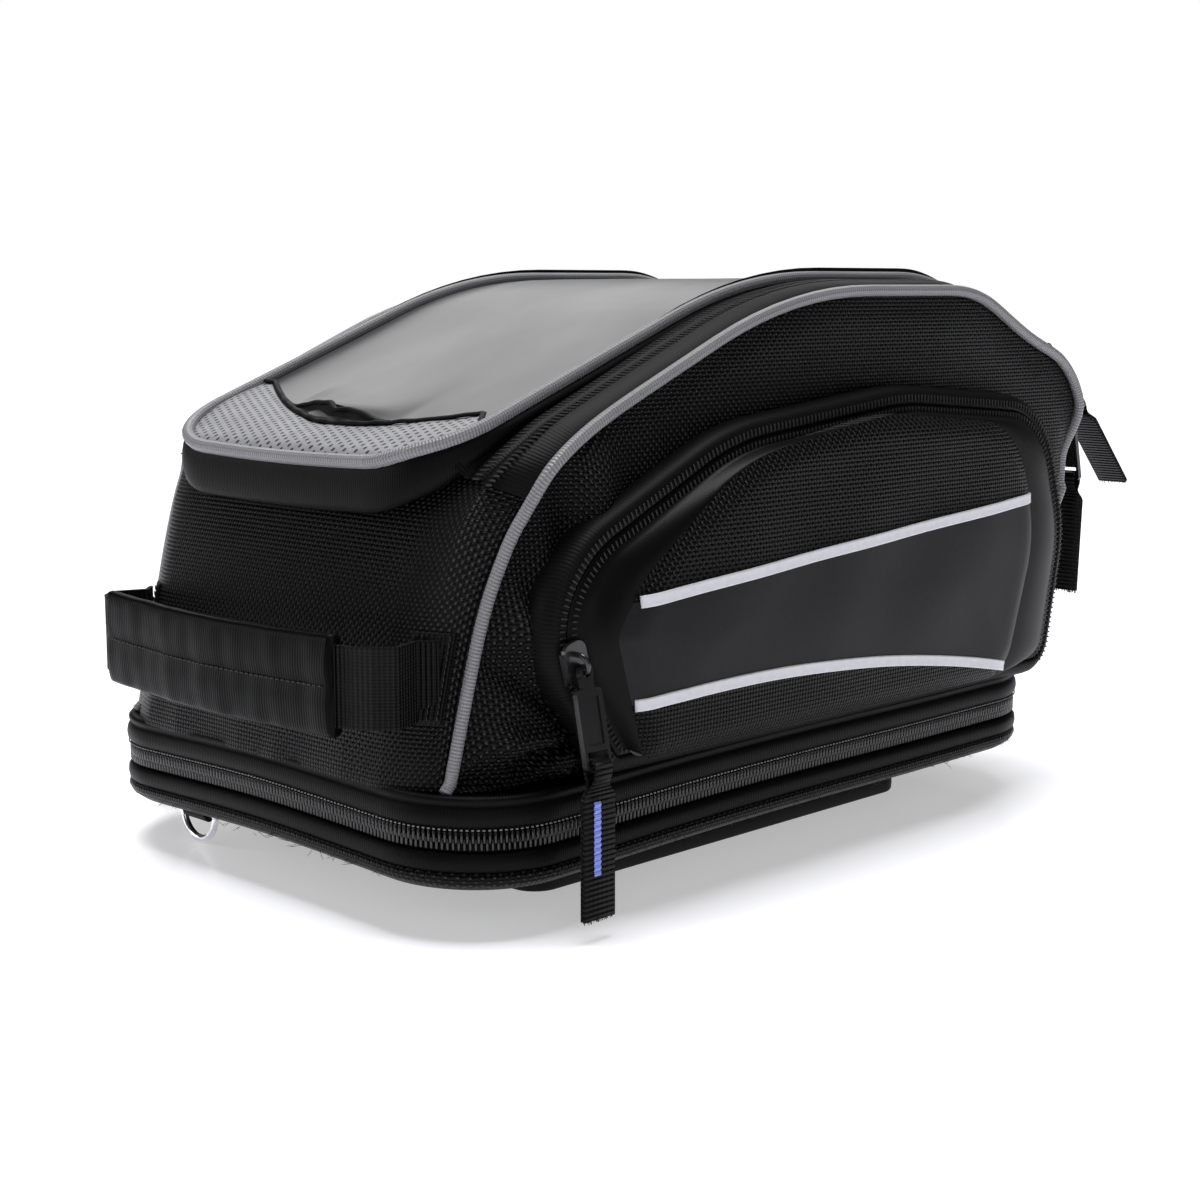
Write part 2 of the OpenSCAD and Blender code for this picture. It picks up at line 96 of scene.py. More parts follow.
def corner_centre(corners, i, inset=0.0):
    """Centre and radius of the arc that rounds corner i of an outline moved in by inset."""
    p = corners[i]
    n1 = edge_normal(corners[i - 1], p)
    n2 = edge_normal(p, corners[(i + 1) % len(corners)])
    radius = max(p[2] - inset, 0.2)
    reach = (inset + radius) / (1 + n1[0] * n2[0] + n1[1] * n2[1])
    return (p[0] + (n1[0] + n2[0]) * reach, p[1] + (n1[1] + n2[1]) * reach), radius, n1, n2


def outline_loop(corners, inset=0.0, step=4.0, arc_steps=8, like=None):
    """Closed loop round a convex outline; its number of points depends on like's sides, not on inset."""
    like = like or corners
    arcs = []
    for i in range(len(corners)):
        centre, radius, n1, n2 = corner_centre(corners, i, inset)
        start = math.atan2(-n1[1], -n1[0])
        turn = math.acos(max(-1, min(1, n1[0] * n2[0] + n1[1] * n2[1])))
        arcs.append([(centre[0] + radius * math.cos(start + turn * k / arc_steps),
                      centre[1] + radius * math.sin(start + turn * k / arc_steps))
                     for k in range(arc_steps + 1)])
    loop = []
    for i, arc in enumerate(arcs):
        after = (i + 1) % len(arcs)
        count = max(1, round(math.dist(like[i][:2], like[after][:2]) / step))
        loop += arc
        loop += [lerp(arc[-1], arcs[after][0], k / count) for k in range(1, count)]
    return loop


def rectangle(x0, x1, y0, y1, r):
    return [(x0, y0, r), (x1, y0, r), (x1, y1, r), (x0, y1, r)]


def resample(line, count):
    """The same line as count points an equal distance apart."""
    lengths = [0.0]
    for a, b in zip(line, line[1:]):
        lengths.append(lengths[-1] + math.dist(a, b))
    out, i = [], 0
    for k in range(count):
        want = lengths[-1] * k / (count - 1)
        while i < len(line) - 2 and lengths[i + 1] < want:
            i += 1
        span = max(lengths[i + 1] - lengths[i], 1e-9)
        out.append(lerp(line[i], line[i + 1], (want - lengths[i]) / span))
    return out


def arch(corners, inset, z_front, z_rear):
    """The outline from height z_front at the front, over the top, to z_rear at the rear."""
    loop = outline_loop(corners, inset, step=3)[::-1]
    low = min(range(len(loop)), key=lambda k: (round(loop[k][1]), loop[k][0]))
    line = loop[low:] + loop[:low]

    def trim(points, z):
        while points[1][1] < z:
            points = points[1:]
        a, b = points[0], points[1]
        t = (z - a[1]) / (b[1] - a[1])
        return [lerp(a, b, t)] + points[1:]

    line = trim(line, z_front)
    while line[-1][1] < z_rear - 0.01:
        last = line.pop()
        if line[-1][1] >= z_rear:
            t = (z_rear - last[1]) / (line[-1][1] - last[1])
            line.append(lerp(last, line[-1], t))
            break
    return line


class Skin:
    """A sheet rolled along a side outline: s runs back along it, y across it, h stands off it."""

    def __init__(self, corners, inset, z_front, z_rear, count=240):
        self.line = resample(arch(corners, inset, z_front, z_rear), count)
        self.step = math.dist(self.line[0], self.line[1])
        self.length = self.step * (count - 1)

    def frame_at(self, s):
        """Place and outward normal, both in the side view, a length s along the line."""
        k = s / self.step
        i = int(max(0, min(len(self.line) - 2, math.floor(k))))
        x, z = lerp(self.line[i], self.line[i + 1], k - i)
        a = self.line[max(0, i - 2)]
        b = self.line[min(len(self.line) - 1, i + 3)]
        length = math.dist(a, b)
        return x, z, (a[1] - b[1]) / length, (b[0] - a[0]) / length

    def at(self, s, y, h=0.0):
        x, z, nx, nz = self.frame_at(s)
        return x + nx * h, y, z + nz * h

    def up(self, s):
        _, _, nx, nz = self.frame_at(s)
        return nx, 0.0, nz

    def s_at_x(self, x):
        """Where the line first comes as far back as x."""
        return next(i for i, p in enumerate(self.line) if p[0] >= x) * self.step


case_skin = Skin(CASE_OUTLINE, 0, FOOT_Z, FOOT_Z, 400)
lid_skin = Skin(LID_OUTLINE, 0, 168, 168.6)


def rear_x(z):
    """Where the rear fabric stands at a height below its upper corner."""
    return 180 + (z - 40) * 50 / 96


def soft_corner(p):
    """Rounds the case's upright corners in plan, most at the base and little at the lid."""
    x, y, z = p
    reach = 44 - 8 * ease((z - 50) / 120)
    front = -156 - max(0, 164 - z) * 33 / 124
    for edge, way in ((front, -1), (rear_x(z) if z < 136 else 228, 1)):
        a = (way * (x - edge) + reach) / reach
        b = (abs(y) - HALF_W + reach) / reach
        if a > 0 and b > 0:
            fade = 1 - ease((z - 150) / 30)
            na = a * math.sqrt(max(0.0, 1 - min(b, 1.1) ** 2 / 2))
            nb = b * math.sqrt(max(0.0, 1 - min(a, 1.1) ** 2 / 2))
            x += way * (na - a) * reach * fade
            y += (nb - b) * reach * fade * (1 if y > 0 else -1)
    return x, y, z


def tuck(p, share=1.0):
    """Draws the case's edge in at both shoulders, where the seam pulls it round."""
    x, y, z = p
    rear = 4.5 * ease((x - 120) / 60) * ease((z - 60) / 60) * share
    reach = math.hypot(x - 110, z - 110)
    x, z = x - (x - 110) / reach * rear, z - (z - 110) / reach * rear
    front = 7.5 * math.exp(-((x + 152) ** 2 + (z - 160) ** 2) / 1000) * share
    return x + 0.75 * front, y, z - 0.66 * front


def edge_share(y):
    """How much of the shoulder's pull a point takes, from none at y 96 to all at the seam."""
    return ease((abs(y) - 96) / 15)


def waves(seed, x, z, pitch):
    """Smooth seeded ripples between about -1 and 1."""
    r = random.Random(seed)
    total = 0.0
    for _ in range(5):
        a, k, p = r.uniform(0, math.pi), r.uniform(0.6, 1.6), r.uniform(0, 6.28)
        total += math.sin((x * math.cos(a) + z * math.sin(a)) * k * 6.28 / pitch + p)
    return total / 3.2


# ---- Materials --------------------------------------------------------------

class Shader:
    """A node material built up by short calls."""

    def __init__(self, name):
        self.material = bpy.data.materials.new(name)
        self.material.use_nodes = True
        self.tree = self.material.node_tree
        self.bsdf = self.tree.nodes["Principled BSDF"]
        uv = self.node("ShaderNodeUVMap")
        uv.uv_map = "cloth"
        split = self.node("ShaderNodeSeparateXYZ")
        self.link(uv.outputs[0], split.inputs[0])
        self.uv, self.u, self.v = uv.outputs[0], split.outputs[0], split.outputs[1]

    def node(self, kind, **settings):
        node = self.tree.nodes.new(kind)
        for key, value in settings.items():
            setattr(node, key, value)
        return node

    def link(self, source, target):
        self.tree.links.new(source, target)

    def put(self, socket, value):
        """Links a socket to another node's output, or sets its plain colour or number."""
        if hasattr(value, "links"):
            self.link(value, socket)
        else:
            socket.default_value = (*value, 1.0) if isinstance(value, tuple) else value

    def math(self, operation, *values):
        node = self.node("ShaderNodeMath", operation=operation)
        for socket, value in zip(node.inputs, values):
            self.put(socket, value)
        return node.outputs[0]

    def wave(self, source, pitch):
        """0 to 1 and back once every pitch metres."""
        turned = self.math("MULTIPLY", source, 2 * math.pi / pitch)
        return self.math("MULTIPLY_ADD", self.math("SINE", turned), 0.5, 0.5)

    def noise(self, scale, detail=3.0, uv=True, stretch=(1, 1, 1)):
        """Cloudy 0 to 1 pattern on the layout, or in object space where there is none."""
        node = self.node("ShaderNodeTexNoise")
        node.inputs["Scale"].default_value = scale
        node.inputs["Detail"].default_value = detail
        mapping = self.node("ShaderNodeMapping")
        mapping.inputs["Scale"].default_value = stretch
        source = self.uv if uv else self.node("ShaderNodeTexCoord").outputs["Object"]
        self.link(source, mapping.inputs["Vector"])
        self.link(mapping.outputs[0], node.inputs["Vector"])
        return node.outputs["Fac"]

    def mix(self, factor, low, high):
        node = self.node("ShaderNodeMix", data_type="RGBA")
        for k, value in ((0, factor), (6, low), (7, high)):
            self.put(node.inputs[k], value)
        return node.outputs[2]

    def grey(self, factor, low, high):
        return self.mix(factor, (low, low, low * 1.06), (high, high, high * 1.06))

    def bump(self, height, distance, strength=1.0):
        """Adds a relief on top of any set before it."""
        node = self.node("ShaderNodeBump")
        node.inputs["Strength"].default_value = strength
        node.inputs["Distance"].default_value = distance
        self.link(height, node.inputs["Height"])
        if self.bsdf.inputs["Normal"].links:
            self.link(self.bsdf.inputs["Normal"].links[0].from_socket, node.inputs["Normal"])
        self.link(node.outputs[0], self.bsdf.inputs["Normal"])
        return self

    def set(self, **values):
        """Sets the surface's sockets by short names."""
        names = {"color": "Base Color", "rough": "Roughness", "metal": "Metallic",
                 "spec": "Specular IOR Level", "sheen": "Sheen Weight",
                 "sheen_rough": "Sheen Roughness", "coat": "Coat Weight",
                 "coat_rough": "Coat Roughness"}
        for key, value in values.items():
            self.put(self.bsdf.inputs[names[key]], value)
        return self


def weave_height(sh, pitch):
    """Alternate raised floats of warp and weft."""
    checker = sh.node("ShaderNodeTexChecker")
    checker.inputs["Scale"].default_value = 1 / pitch
    checker.inputs["Color1"].default_value = (0, 0, 0, 1)
    checker.inputs["Color2"].default_value = (1, 1, 1, 1)
    sh.link(sh.uv, checker.inputs["Vector"])
    across = sh.math("ABSOLUTE", sh.math("SINE", sh.math("MULTIPLY", sh.u, math.pi / pitch)))
    along = sh.math("ABSOLUTE", sh.math("SINE", sh.math("MULTIPLY", sh.v, math.pi / pitch)))
    both = sh.math("MULTIPLY", across, along)
    low = sh.math("MULTIPLY", both, 0.35)
    mixed = sh.node("ShaderNodeMix", data_type="FLOAT")
    sh.link(checker.outputs["Fac"], mixed.inputs[0])
    sh.link(low, mixed.inputs[2])
    sh.link(both, mixed.inputs[3])
    return mixed.outputs[0]


def weave(name, dark=0.0006, light=0.05, pitch=0.0016):
    """Coarse plain weave whose raised floats are painted lighter, a painted highlight on the yarn crests, its
    strength varied at random.
    """
    sh = Shader(name)
    height = weave_height(sh, pitch)
    worn = sh.noise(60)
    # tone is a painted highlight on the floats' crests, made stronger or weaker at random by the worn noise
    tone = sh.math("MULTIPLY", sh.math("POWER", height, 3.0), sh.math("MULTIPLY_ADD", worn, 0.9, 0.5))
    sh.set(color=sh.grey(tone, dark, light), rough=0.34, spec=0.1)
    sh.bump(height, 0.001, 1.0).bump(sh.noise(25), 0.0012, 0.35)
    return sh.material


def tape(name, pitch=0.0011, dark=0.001, light=0.004, rough=0.45, spec=0.07):
    """Smooth narrow fabric with fine ribs across its length."""
    sh = Shader(name)
    ribs = sh.wave(sh.u, pitch)
    # tone: random noise plus the ribs, whose crests carry a painted highlight and whose grooves carry a
    # painted shade
    tone = sh.math("MULTIPLY_ADD", sh.noise(90), 0.5, sh.math("MULTIPLY", ribs, 0.4))
    sh.set(color=sh.grey(tone, dark, light), rough=rough, spec=spec)
    sh.bump(ribs, 0.00012, 0.6).bump(sh.noise(45, 4), 0.0006, 0.4)
    return sh.material


def ribbed_webbing(name):
    """Narrow strap with strong ribs across it."""
    sh = Shader(name)
    ribs = sh.wave(sh.u, 0.0019)
    grain = sh.wave(sh.v, 0.0012)
    height = sh.math("MULTIPLY_ADD", grain, 0.15, ribs)
    # tone follows the ribs: a painted highlight on their crests and painted shade in the grooves, varied at
    # random by a noise
    tone = sh.math("MULTIPLY", height, sh.math("MULTIPLY_ADD", sh.noise(70), 0.6, 0.4))
    sh.set(color=sh.grey(tone, 0.0008, 0.009), rough=0.42, spec=0.11)
    sh.bump(height, 0.0006, 1.0)
    return sh.material


def piping_cloth(name):
    """Light grey bound cord, finely ribbed across and along."""
    sh = Shader(name)
    ribs = sh.wave(sh.u, 0.0013)
    fine = sh.wave(sh.v, 0.0011)
    height = sh.math("MULTIPLY_ADD", fine, 0.3, ribs)
    # tone: the ribs' crests painted lighter and their grooves darker, painted highlight and shade, plus
    # random noise; the grey itself is the cord's own
    tone = sh.math("MULTIPLY_ADD", height, 0.45, sh.math("MULTIPLY", sh.noise(40), 0.35))
    sh.set(color=sh.grey(tone, 0.1, 0.3), rough=0.4, spec=0.45)
    sh.bump(height, 0.0003, 0.7)
    return sh.material


def silver_strip(name):
    sh = Shader(name)
    grain = sh.noise(300, 2)
    sh.set(color=sh.grey(grain, 0.52, 0.66), rough=0.34, spec=0.6)
    sh.bump(sh.noise(60), 0.0003, 0.4)
    return sh.material


def vinyl(name):
    """Clear flexible sheet over grey cloth, read as one satin grey skin. Its grey, with the cloudy streaks,
    is partly the cloth's own and partly a painted reflection of the studio light.
    """
    sh = Shader(name)
    cloud = sh.math("MULTIPLY_ADD", sh.noise(11, 3, stretch=(1, 1.8, 1)), 2.4, -0.7)
    # colour: the cloth's grey plus a painted reflection of the studio light, streaked by the cloud noise
    sh.set(color=sh.grey(cloud, 0.03, 0.1), rough=0.3, spec=0.4)
    sh.bump(sh.noise(8, 1, stretch=(1, 1.4, 1)), 0.002, 0.12)
    return sh.material


def perforated(name):
    """Light grey cloth with staggered rows of small dark holes."""
    sh = Shader(name)
    pitch = 0.0034
    row = sh.math("FLOOR", sh.math("DIVIDE", sh.v, pitch))
    shift = sh.math("MULTIPLY", sh.math("MODULO", sh.math("ABSOLUTE", row), 2.0), 0.5)
    x = sh.math("SUBTRACT", sh.math("FRACT", sh.math("ADD", sh.math("DIVIDE", sh.u, pitch), shift)), 0.5)
    y = sh.math("SUBTRACT", sh.math("FRACT", sh.math("DIVIDE", sh.v, pitch)), 0.5)
    radius = sh.math("SQRT", sh.math("ADD", sh.math("MULTIPLY", x, x), sh.math("MULTIPLY", y, y)))
    hole = sh.node("ShaderNodeMapRange")
    hole.inputs["From Min"].default_value = 0.17
    hole.inputs["From Max"].default_value = 0.27
    sh.link(radius, hole.inputs["Value"])
    cloth = sh.grey(sh.noise(120), 0.17, 0.3)
    sh.set(color=sh.mix(hole.outputs[0], (0.02, 0.02, 0.022), cloth), rough=0.5, spec=0.4)
    sh.bump(hole.outputs[0], 0.0006, 1.0)
    return sh.material


def grained(name, dark, light, rough, grain=900, spec=0.4):
    """Smooth coated cloth, rubber or moulded plastic with a fine grain."""
    sh = Shader(name)
    fine = sh.noise(grain, 2)
    tone = sh.math("MULTIPLY_ADD", sh.noise(30), 0.6, sh.math("MULTIPLY", fine, 0.4))
    sh.set(color=sh.grey(tone, dark, light), rough=rough, spec=spec)
    sh.bump(fine, 0.00008, 0.6).bump(sh.noise(22), 0.001, 0.35)
    return sh.material


def pocket_face_cloth(name):
    """Weave above and below the reflective strips, smooth charcoal sheet between them."""
    sh = Shader(name)
    height = weave_height(sh, 0.0017)
    cover = sh.math("MULTIPLY",
                    sh.math("LESS_THAN", sh.v, strip_height(sh, UPPER_STRIP)),
                    sh.math("GREATER_THAN", sh.v, strip_height(sh, LOWER_STRIP)))
    # The weave's colour follows its raised floats: a painted highlight on the yarn crests.
    cloth = sh.grey(sh.math("POWER", height, 3.0), 0.0006, 0.022)
    smooth = sh.grey(sh.noise(500, 3), 0.011, 0.018)
    rough = sh.math("MULTIPLY_ADD", cover, 0.08, 0.34)
    sh.set(color=sh.mix(cover, cloth, smooth), rough=rough, spec=0.09)
    raised = sh.math("MULTIPLY", height, sh.math("SUBTRACT", 1.0, cover))
    sh.bump(raised, 0.001, 1.0).bump(sh.noise(26), 0.001, 0.35)
    return sh.material


def painted_metal(name, tone, metal=0.0, rough=0.24):
    """Metal with soft wear; its pattern is in object space, since CAD nodes carry no layout."""
    sh = Shader(name)
    worn = sh.noise(700, 4, uv=False)
    sh.set(color=sh.grey(worn, tone, tone * 1.8), rough=rough, metal=metal, spec=0.5)
    sh.bump(worn, 0.00006, 0.5)
    return sh.material


def thread(name, tone, tint=None):
    """Twisted sewing thread, grey or tinted."""
    sh = Shader(name)
    twist = sh.wave(sh.u, 0.0009)
    high = tint or (tone * 1.8,) * 3
    low = tuple(c * 0.6 for c in high) if tint else (tone,) * 3
    # The twist's crests are painted lighter than its grooves: painted highlight and shade along the thread.
    sh.set(color=sh.mix(twist, low, high), rough=0.6, spec=0.3)
    sh.bump(twist, 0.0002, 0.6)
    return sh.material


# Heights of the two strips across the pocket's face, as z = a + b x + c x^2 in millimetres.
UPPER_STRIP = (129.0, 0.078, -0.00006)
LOWER_STRIP = (82.0, -0.065, -0.0006)


def strip_z(strip, x):
    return strip[0] + strip[1] * x + strip[2] * x * x


def strip_height(sh, strip):
    """The strip's height in metres, worked out by nodes from the layout's u, which is x."""
    square = sh.math("MULTIPLY", sh.math("MULTIPLY", sh.u, sh.u), strip[2] / MM)
    linear = sh.math("MULTIPLY_ADD", sh.u, strip[1], strip[0] * MM)
    return sh.math("ADD", linear, square)


MAT = {
    "nylon": weave("ballistic_nylon"),
    "tape": tape("ribbon_tape"),
    "rim": grained("pocket_rim", 0.001, 0.004, 0.42, 700, 0.08),
    "zip_tape": tape("zip_tape", 0.0016, 0.0015, 0.006, 0.5),
    "grip": tape("grip_cloth", 0.0014, 0.0008, 0.003, 0.36, 0.05),
    "coil": grained("zip_coil", 0.002, 0.006, 0.26, spec=0.5),
    "webbing": ribbed_webbing("webbing"),
    "piping": piping_cloth("grey_piping"),
    "strip": silver_strip("silver_strip"),
    "vinyl": vinyl("clear_vinyl"),
    "mesh": perforated("grey_mesh"),
    "binding": tape("black_binding", 0.0012, 0.002, 0.007, 0.5),
    "backing": grained("backing", 0.003, 0.007, 0.7, spec=0.2),
    "face": pocket_face_cloth("pocket_face"),
    "lining": weave("lining", 0.09, 0.16, 0.0008),
    "board": grained("board", 0.02, 0.035, 0.5),
    "pad": grained("pad", 0.003, 0.008, 0.6, 1200, 0.2),
    "metal": painted_metal("black_metal", 0.006),
    "ring": painted_metal("bright_ring", 0.55, 1.0, 0.22),
    "stitch": thread("stitching", 0.012),
    # light grey thread: painted highlights on the stitch row along the band
    "glint_dots": thread("stitch_glint_dots", 0.16),
    "blue": thread("blue_stripe", 0.3, (0.28, 0.36, 0.95)),
}


# ---- Mesh building ----------------------------------------------------------

BAG_CENTRE = Vector((10, 0, 110))


def piece(name, points, faces, corner_uv, body, material, outward=True):
    """A mesh from points in millimetres, with its layout in metres, riding on a CAD body."""
    if outward:
        total = 0.0
        for f in faces:
            a, b, c = (Vector(points[f[k]]) for k in (0, 1, 2))
            total += (b - a).cross(c - a).dot((a + b + c) / 3 - BAG_CENTRE)
        if total < 0:
            faces = [f[::-1] for f in faces]
            corner_uv = [uv[::-1] for uv in corner_uv]
    mesh = bpy.data.meshes.new(name)
    mesh.from_pydata([tuple(c * MM for c in p) for p in points], [], faces)
    layer = mesh.uv_layers.new(name="cloth")
    flat = [c * MM for face in corner_uv for uv in face for c in uv]
    layer.data.foreach_set("uv", flat)
    mesh.polygons.foreach_set("use_smooth", [True] * len(mesh.polygons))
    mesh.materials.append(material)
    mesh.validate()
    obj = bpy.data.objects.new(name, mesh)
    bpy.context.scene.collection.objects.link(obj)
    if body:
        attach(obj, body)
    return obj


def running(points, closed):
    """Length along the points at each of them, and at the first again if the line is closed."""
    out = [0.0]
    pairs = list(zip(points, points[1:]))
    if closed:
        pairs.append((points[-1], points[0]))
    for a, b in pairs:
        out.append(out[-1] + math.dist(a, b))
    return out


def grid(name, rows, body, material, ring=False, loop=False, uv=None, caps=False,
         skip=None, thick=0.0, outward=True):
    """A sheet of rows of points: ring closes each row, loop joins the last row to the first."""
    n, m = len(rows), len(rows[0])
    points = [p for row in rows for p in row]
    along = running([row[0] for row in rows], loop)
    across = running(rows[n // 2], ring)
    faces, layout = [], []
    for i in range(n if loop else n - 1):
        for j in range(m if ring else m - 1):
            quad = [(i, j), (i, j + 1), (i + 1, j + 1), (i + 1, j)]
            ids = [(a % n) * m + b % m for a, b in quad]
            if skip and skip([points[k] for k in ids]):
                continue
            faces.append(ids)
            if uv:
                layout.append([uv(points[k]) for k in ids])
            else:
                layout.append([(along[a], across[b]) for a, b in quad])
    if caps:
        for i in (0, n - 1):
            ids = [i * m + j for j in range(m)]
            faces.append(ids if i else ids[::-1])
            layout.append([(along[i], across[j]) for j in range(m)])
    obj = piece(name, points, faces, layout, body, material, outward=outward)
    if thick:
        solid = obj.modifiers.new("thickness", "SOLIDIFY")
        solid.thickness = thick * MM
        solid.offset = -1
    return obj


def sweep_rows(path, ups, profile, closed=False):
    """Rows of profile points carried along path, with profile (a, b) as side and up."""
    rows, n = [], len(path)
    for i, p in enumerate(path):
        a = path[i - 1] if i or closed else path[0]
        b = path[(i + 1) % n] if i < n - 1 or closed else path[-1]
        tangent = (Vector(b) - Vector(a)).normalized()
        up = Vector(ups[i])
        up = (up - tangent * up.dot(tangent)).normalized()
        side = tangent.cross(up)
        rows.append([tuple(Vector(p) + side * q[0] + up * q[1]) for q in profile])
    return rows


def round_profile(radius, sides, flat=1.0):
    return [(radius * math.cos(2 * math.pi * k / sides), radius * flat * math.sin(2 * math.pi * k / sides))
            for k in range(sides)]


def strap_profile(width, thick):
    """Flat band with softly rounded long edges and a slightly hollow middle."""
    w, t, bead = width / 2, thick / 2, 0.25
    upper = [(w, t * 0.4), (w - bead, t), (w - 3 * bead, t * 0.92), (0, t * 0.85),
             (3 * bead - w, t * 0.92), (bead - w, t), (-w, t * 0.4)]
    return upper + [(a, -b) for a, b in reversed(upper)]


def sweep(name, path, ups, profile, body, material, closed=False):
    """A bar of one cross-section along a path."""
    rows = sweep_rows(path, ups, profile, closed)
    return grid(name, rows, body, material, ring=True, loop=closed, caps=not closed)


def pills(name, items, body, material):
    """Many small rounded bars in one mesh, each (centre, long axis, wide axis, half sizes)."""
    sides = 6
    points, faces, layout = [], [], []
    for centre, long, wide, (a, b, c) in items:
        x = Vector(long).normalized()
        y = (Vector(wide) - x * Vector(wide).dot(x)).normalized()
        z = x.cross(y)
        start = len(points)
        for t, k in ((-1.0, 0.45), (-0.72, 1.0), (0.72, 1.0), (1.0, 0.45)):
            for j in range(sides):
                w = 2 * math.pi * j / sides
                offset = x * (t * a) + y * (b * k * math.cos(w)) + z * (c * k * math.sin(w))
                points.append(tuple(Vector(centre) + offset))
        for r in range(3):
            for j in range(sides):
                q = (j + 1) % sides
                faces.append([start + r * sides + j, start + r * sides + q,
                              start + (r + 1) * sides + q, start + (r + 1) * sides + j])
                layout.append([(r * a, j), (r * a, j + 1), (r * a + a, j + 1), (r * a + a, j)])
        for r in (0, 3):
            ids = [start + r * sides + j for j in range(sides)]
            faces.append(ids if r else ids[::-1])
            layout.append([(0, j) for j in range(sides)])
    return piece(name, points, faces, layout, body, material, outward=False)


def shrink(loop, centre, share):
    """The loop drawn a share of the way towards centre."""
    return [lerp(p, centre, share) for p in loop]


def face_uv(p):
    """Layout of an upright sheet: x along, z up."""
    return p[0], p[2]


def plan_uv(p):
    """Layout of a lying sheet: x along, y across."""
    return p[0], p[1]


# ---- Upper case -------------------------------------------------------------

FRONT_BULGE, REAR_BULGE = 6.5, 4.0
OPEN_X0, OPEN_X1, OPEN_HALF = -140, 188, 78


def case_bulge(s, y):
    """How far the fabric between the side panels stands out."""
    crown = max(0.0, math.cos(math.pi * y / (2 * HALF_W))) ** 0.55
    front = math.sin(math.pi * min(1.0, s / 105)) if s < 105 else 0.0
    back = case_skin.length - s
    rear = math.sin(math.pi * min(1.0, back / 120)) if back < 120 else 0.0
    wrinkle = waves(3, s, y * 0.5, 46) * 0.7 * (ease(1 - s / 110) + ease(1 - back / 120))
    low = waves(11, y, s * 0.4, 30) * 1.1 * ease(1 - s / 34)
    return crown * (FRONT_BULGE * front + REAR_BULGE * rear) + (wrinkle + low) * crown


def in_opening(points):
    """Whether a face lies over the lid's opening."""
    x, y, z = (sum(p[k] for p in points) / len(points) for k in range(3))
    return OPEN_X0 < x < OPEN_X1 and abs(y) < OPEN_HALF and z > 165


def case_columns(half):
    """Distances across at which the strip's points stand, with one at the opening's edge."""
    inner = [OPEN_HALF * k / 13 for k in range(14)]
    outer = [OPEN_HALF + (half - OPEN_HALF) * k / 7 for k in range(1, 8)]
    right = inner + outer
    return [-y for y in reversed(right[1:])] + right


def build_strip():
    """One fabric strip up the front, over the top and down the rear, with the lid's opening."""
    count = 190
    rows = []
    for i in range(count):
        s = case_skin.length * i / (count - 1)
        rows.append([soft_corner(tuck(case_skin.at(s, y, case_bulge(s, y) - 0.2), edge_share(y)))
                     for y in case_columns(111.2)])
    strip = grid("case_strip", rows, "case", MAT["nylon"], skip=in_opening, thick=1.4)
    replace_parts(strip, "front_panel", "rear_panel", "top_frame")
    inner = Skin(CASE_OUTLINE, 7, FOOT_Z, FOOT_Z)
    rows = []
    for i in range(120):
        s = inner.length * i / 119
        rows.append([soft_corner(inner.at(s, y, waves(5, s, y, 60) * 0.5)) for y in case_columns(105)])
    lining = grid("lining_strip", rows, "case", MAT["lining"], skip=in_opening)
    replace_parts(lining, "lining", "foam_boards")
    opening = rectangle(case_skin.s_at_x(OPEN_X0), case_skin.s_at_x(OPEN_X1), -OPEN_HALF, OPEN_HALF, 6)
    rows = []
    for h, d in ((0.5, -1.5), (0.7, 0.2), (-1.5, 1.4), (-5.0, 1.4), (-7.6, 0.6), (-7.2, -1.5)):
        rows.append([case_skin.at(s, y, h * 0.9) for s, y in outline_loop(opening, d, 5)])
    grid("opening_binding", rows, "case", MAT["binding"], ring=True, outward=False)


def side_wrinkles(x, z):
    """Folds that fan out from the pocket's lower front corner towards the piping."""
    a = math.atan2(z - 70, -118 - x)
    near = ease((-84 - x) / 40) * ease(1 - (z - 150) / 50)
    folds = math.sin(a * 8 + 0.8) * 0.6 + math.sin(a * 15 + 2) * 0.4
    low = math.sin(x / 4.6 + z / 12) * ease(1 - (z - 54) / 34) * ease((-96 - x) / 30)
    return near * folds * 6.0 + low * 2.4


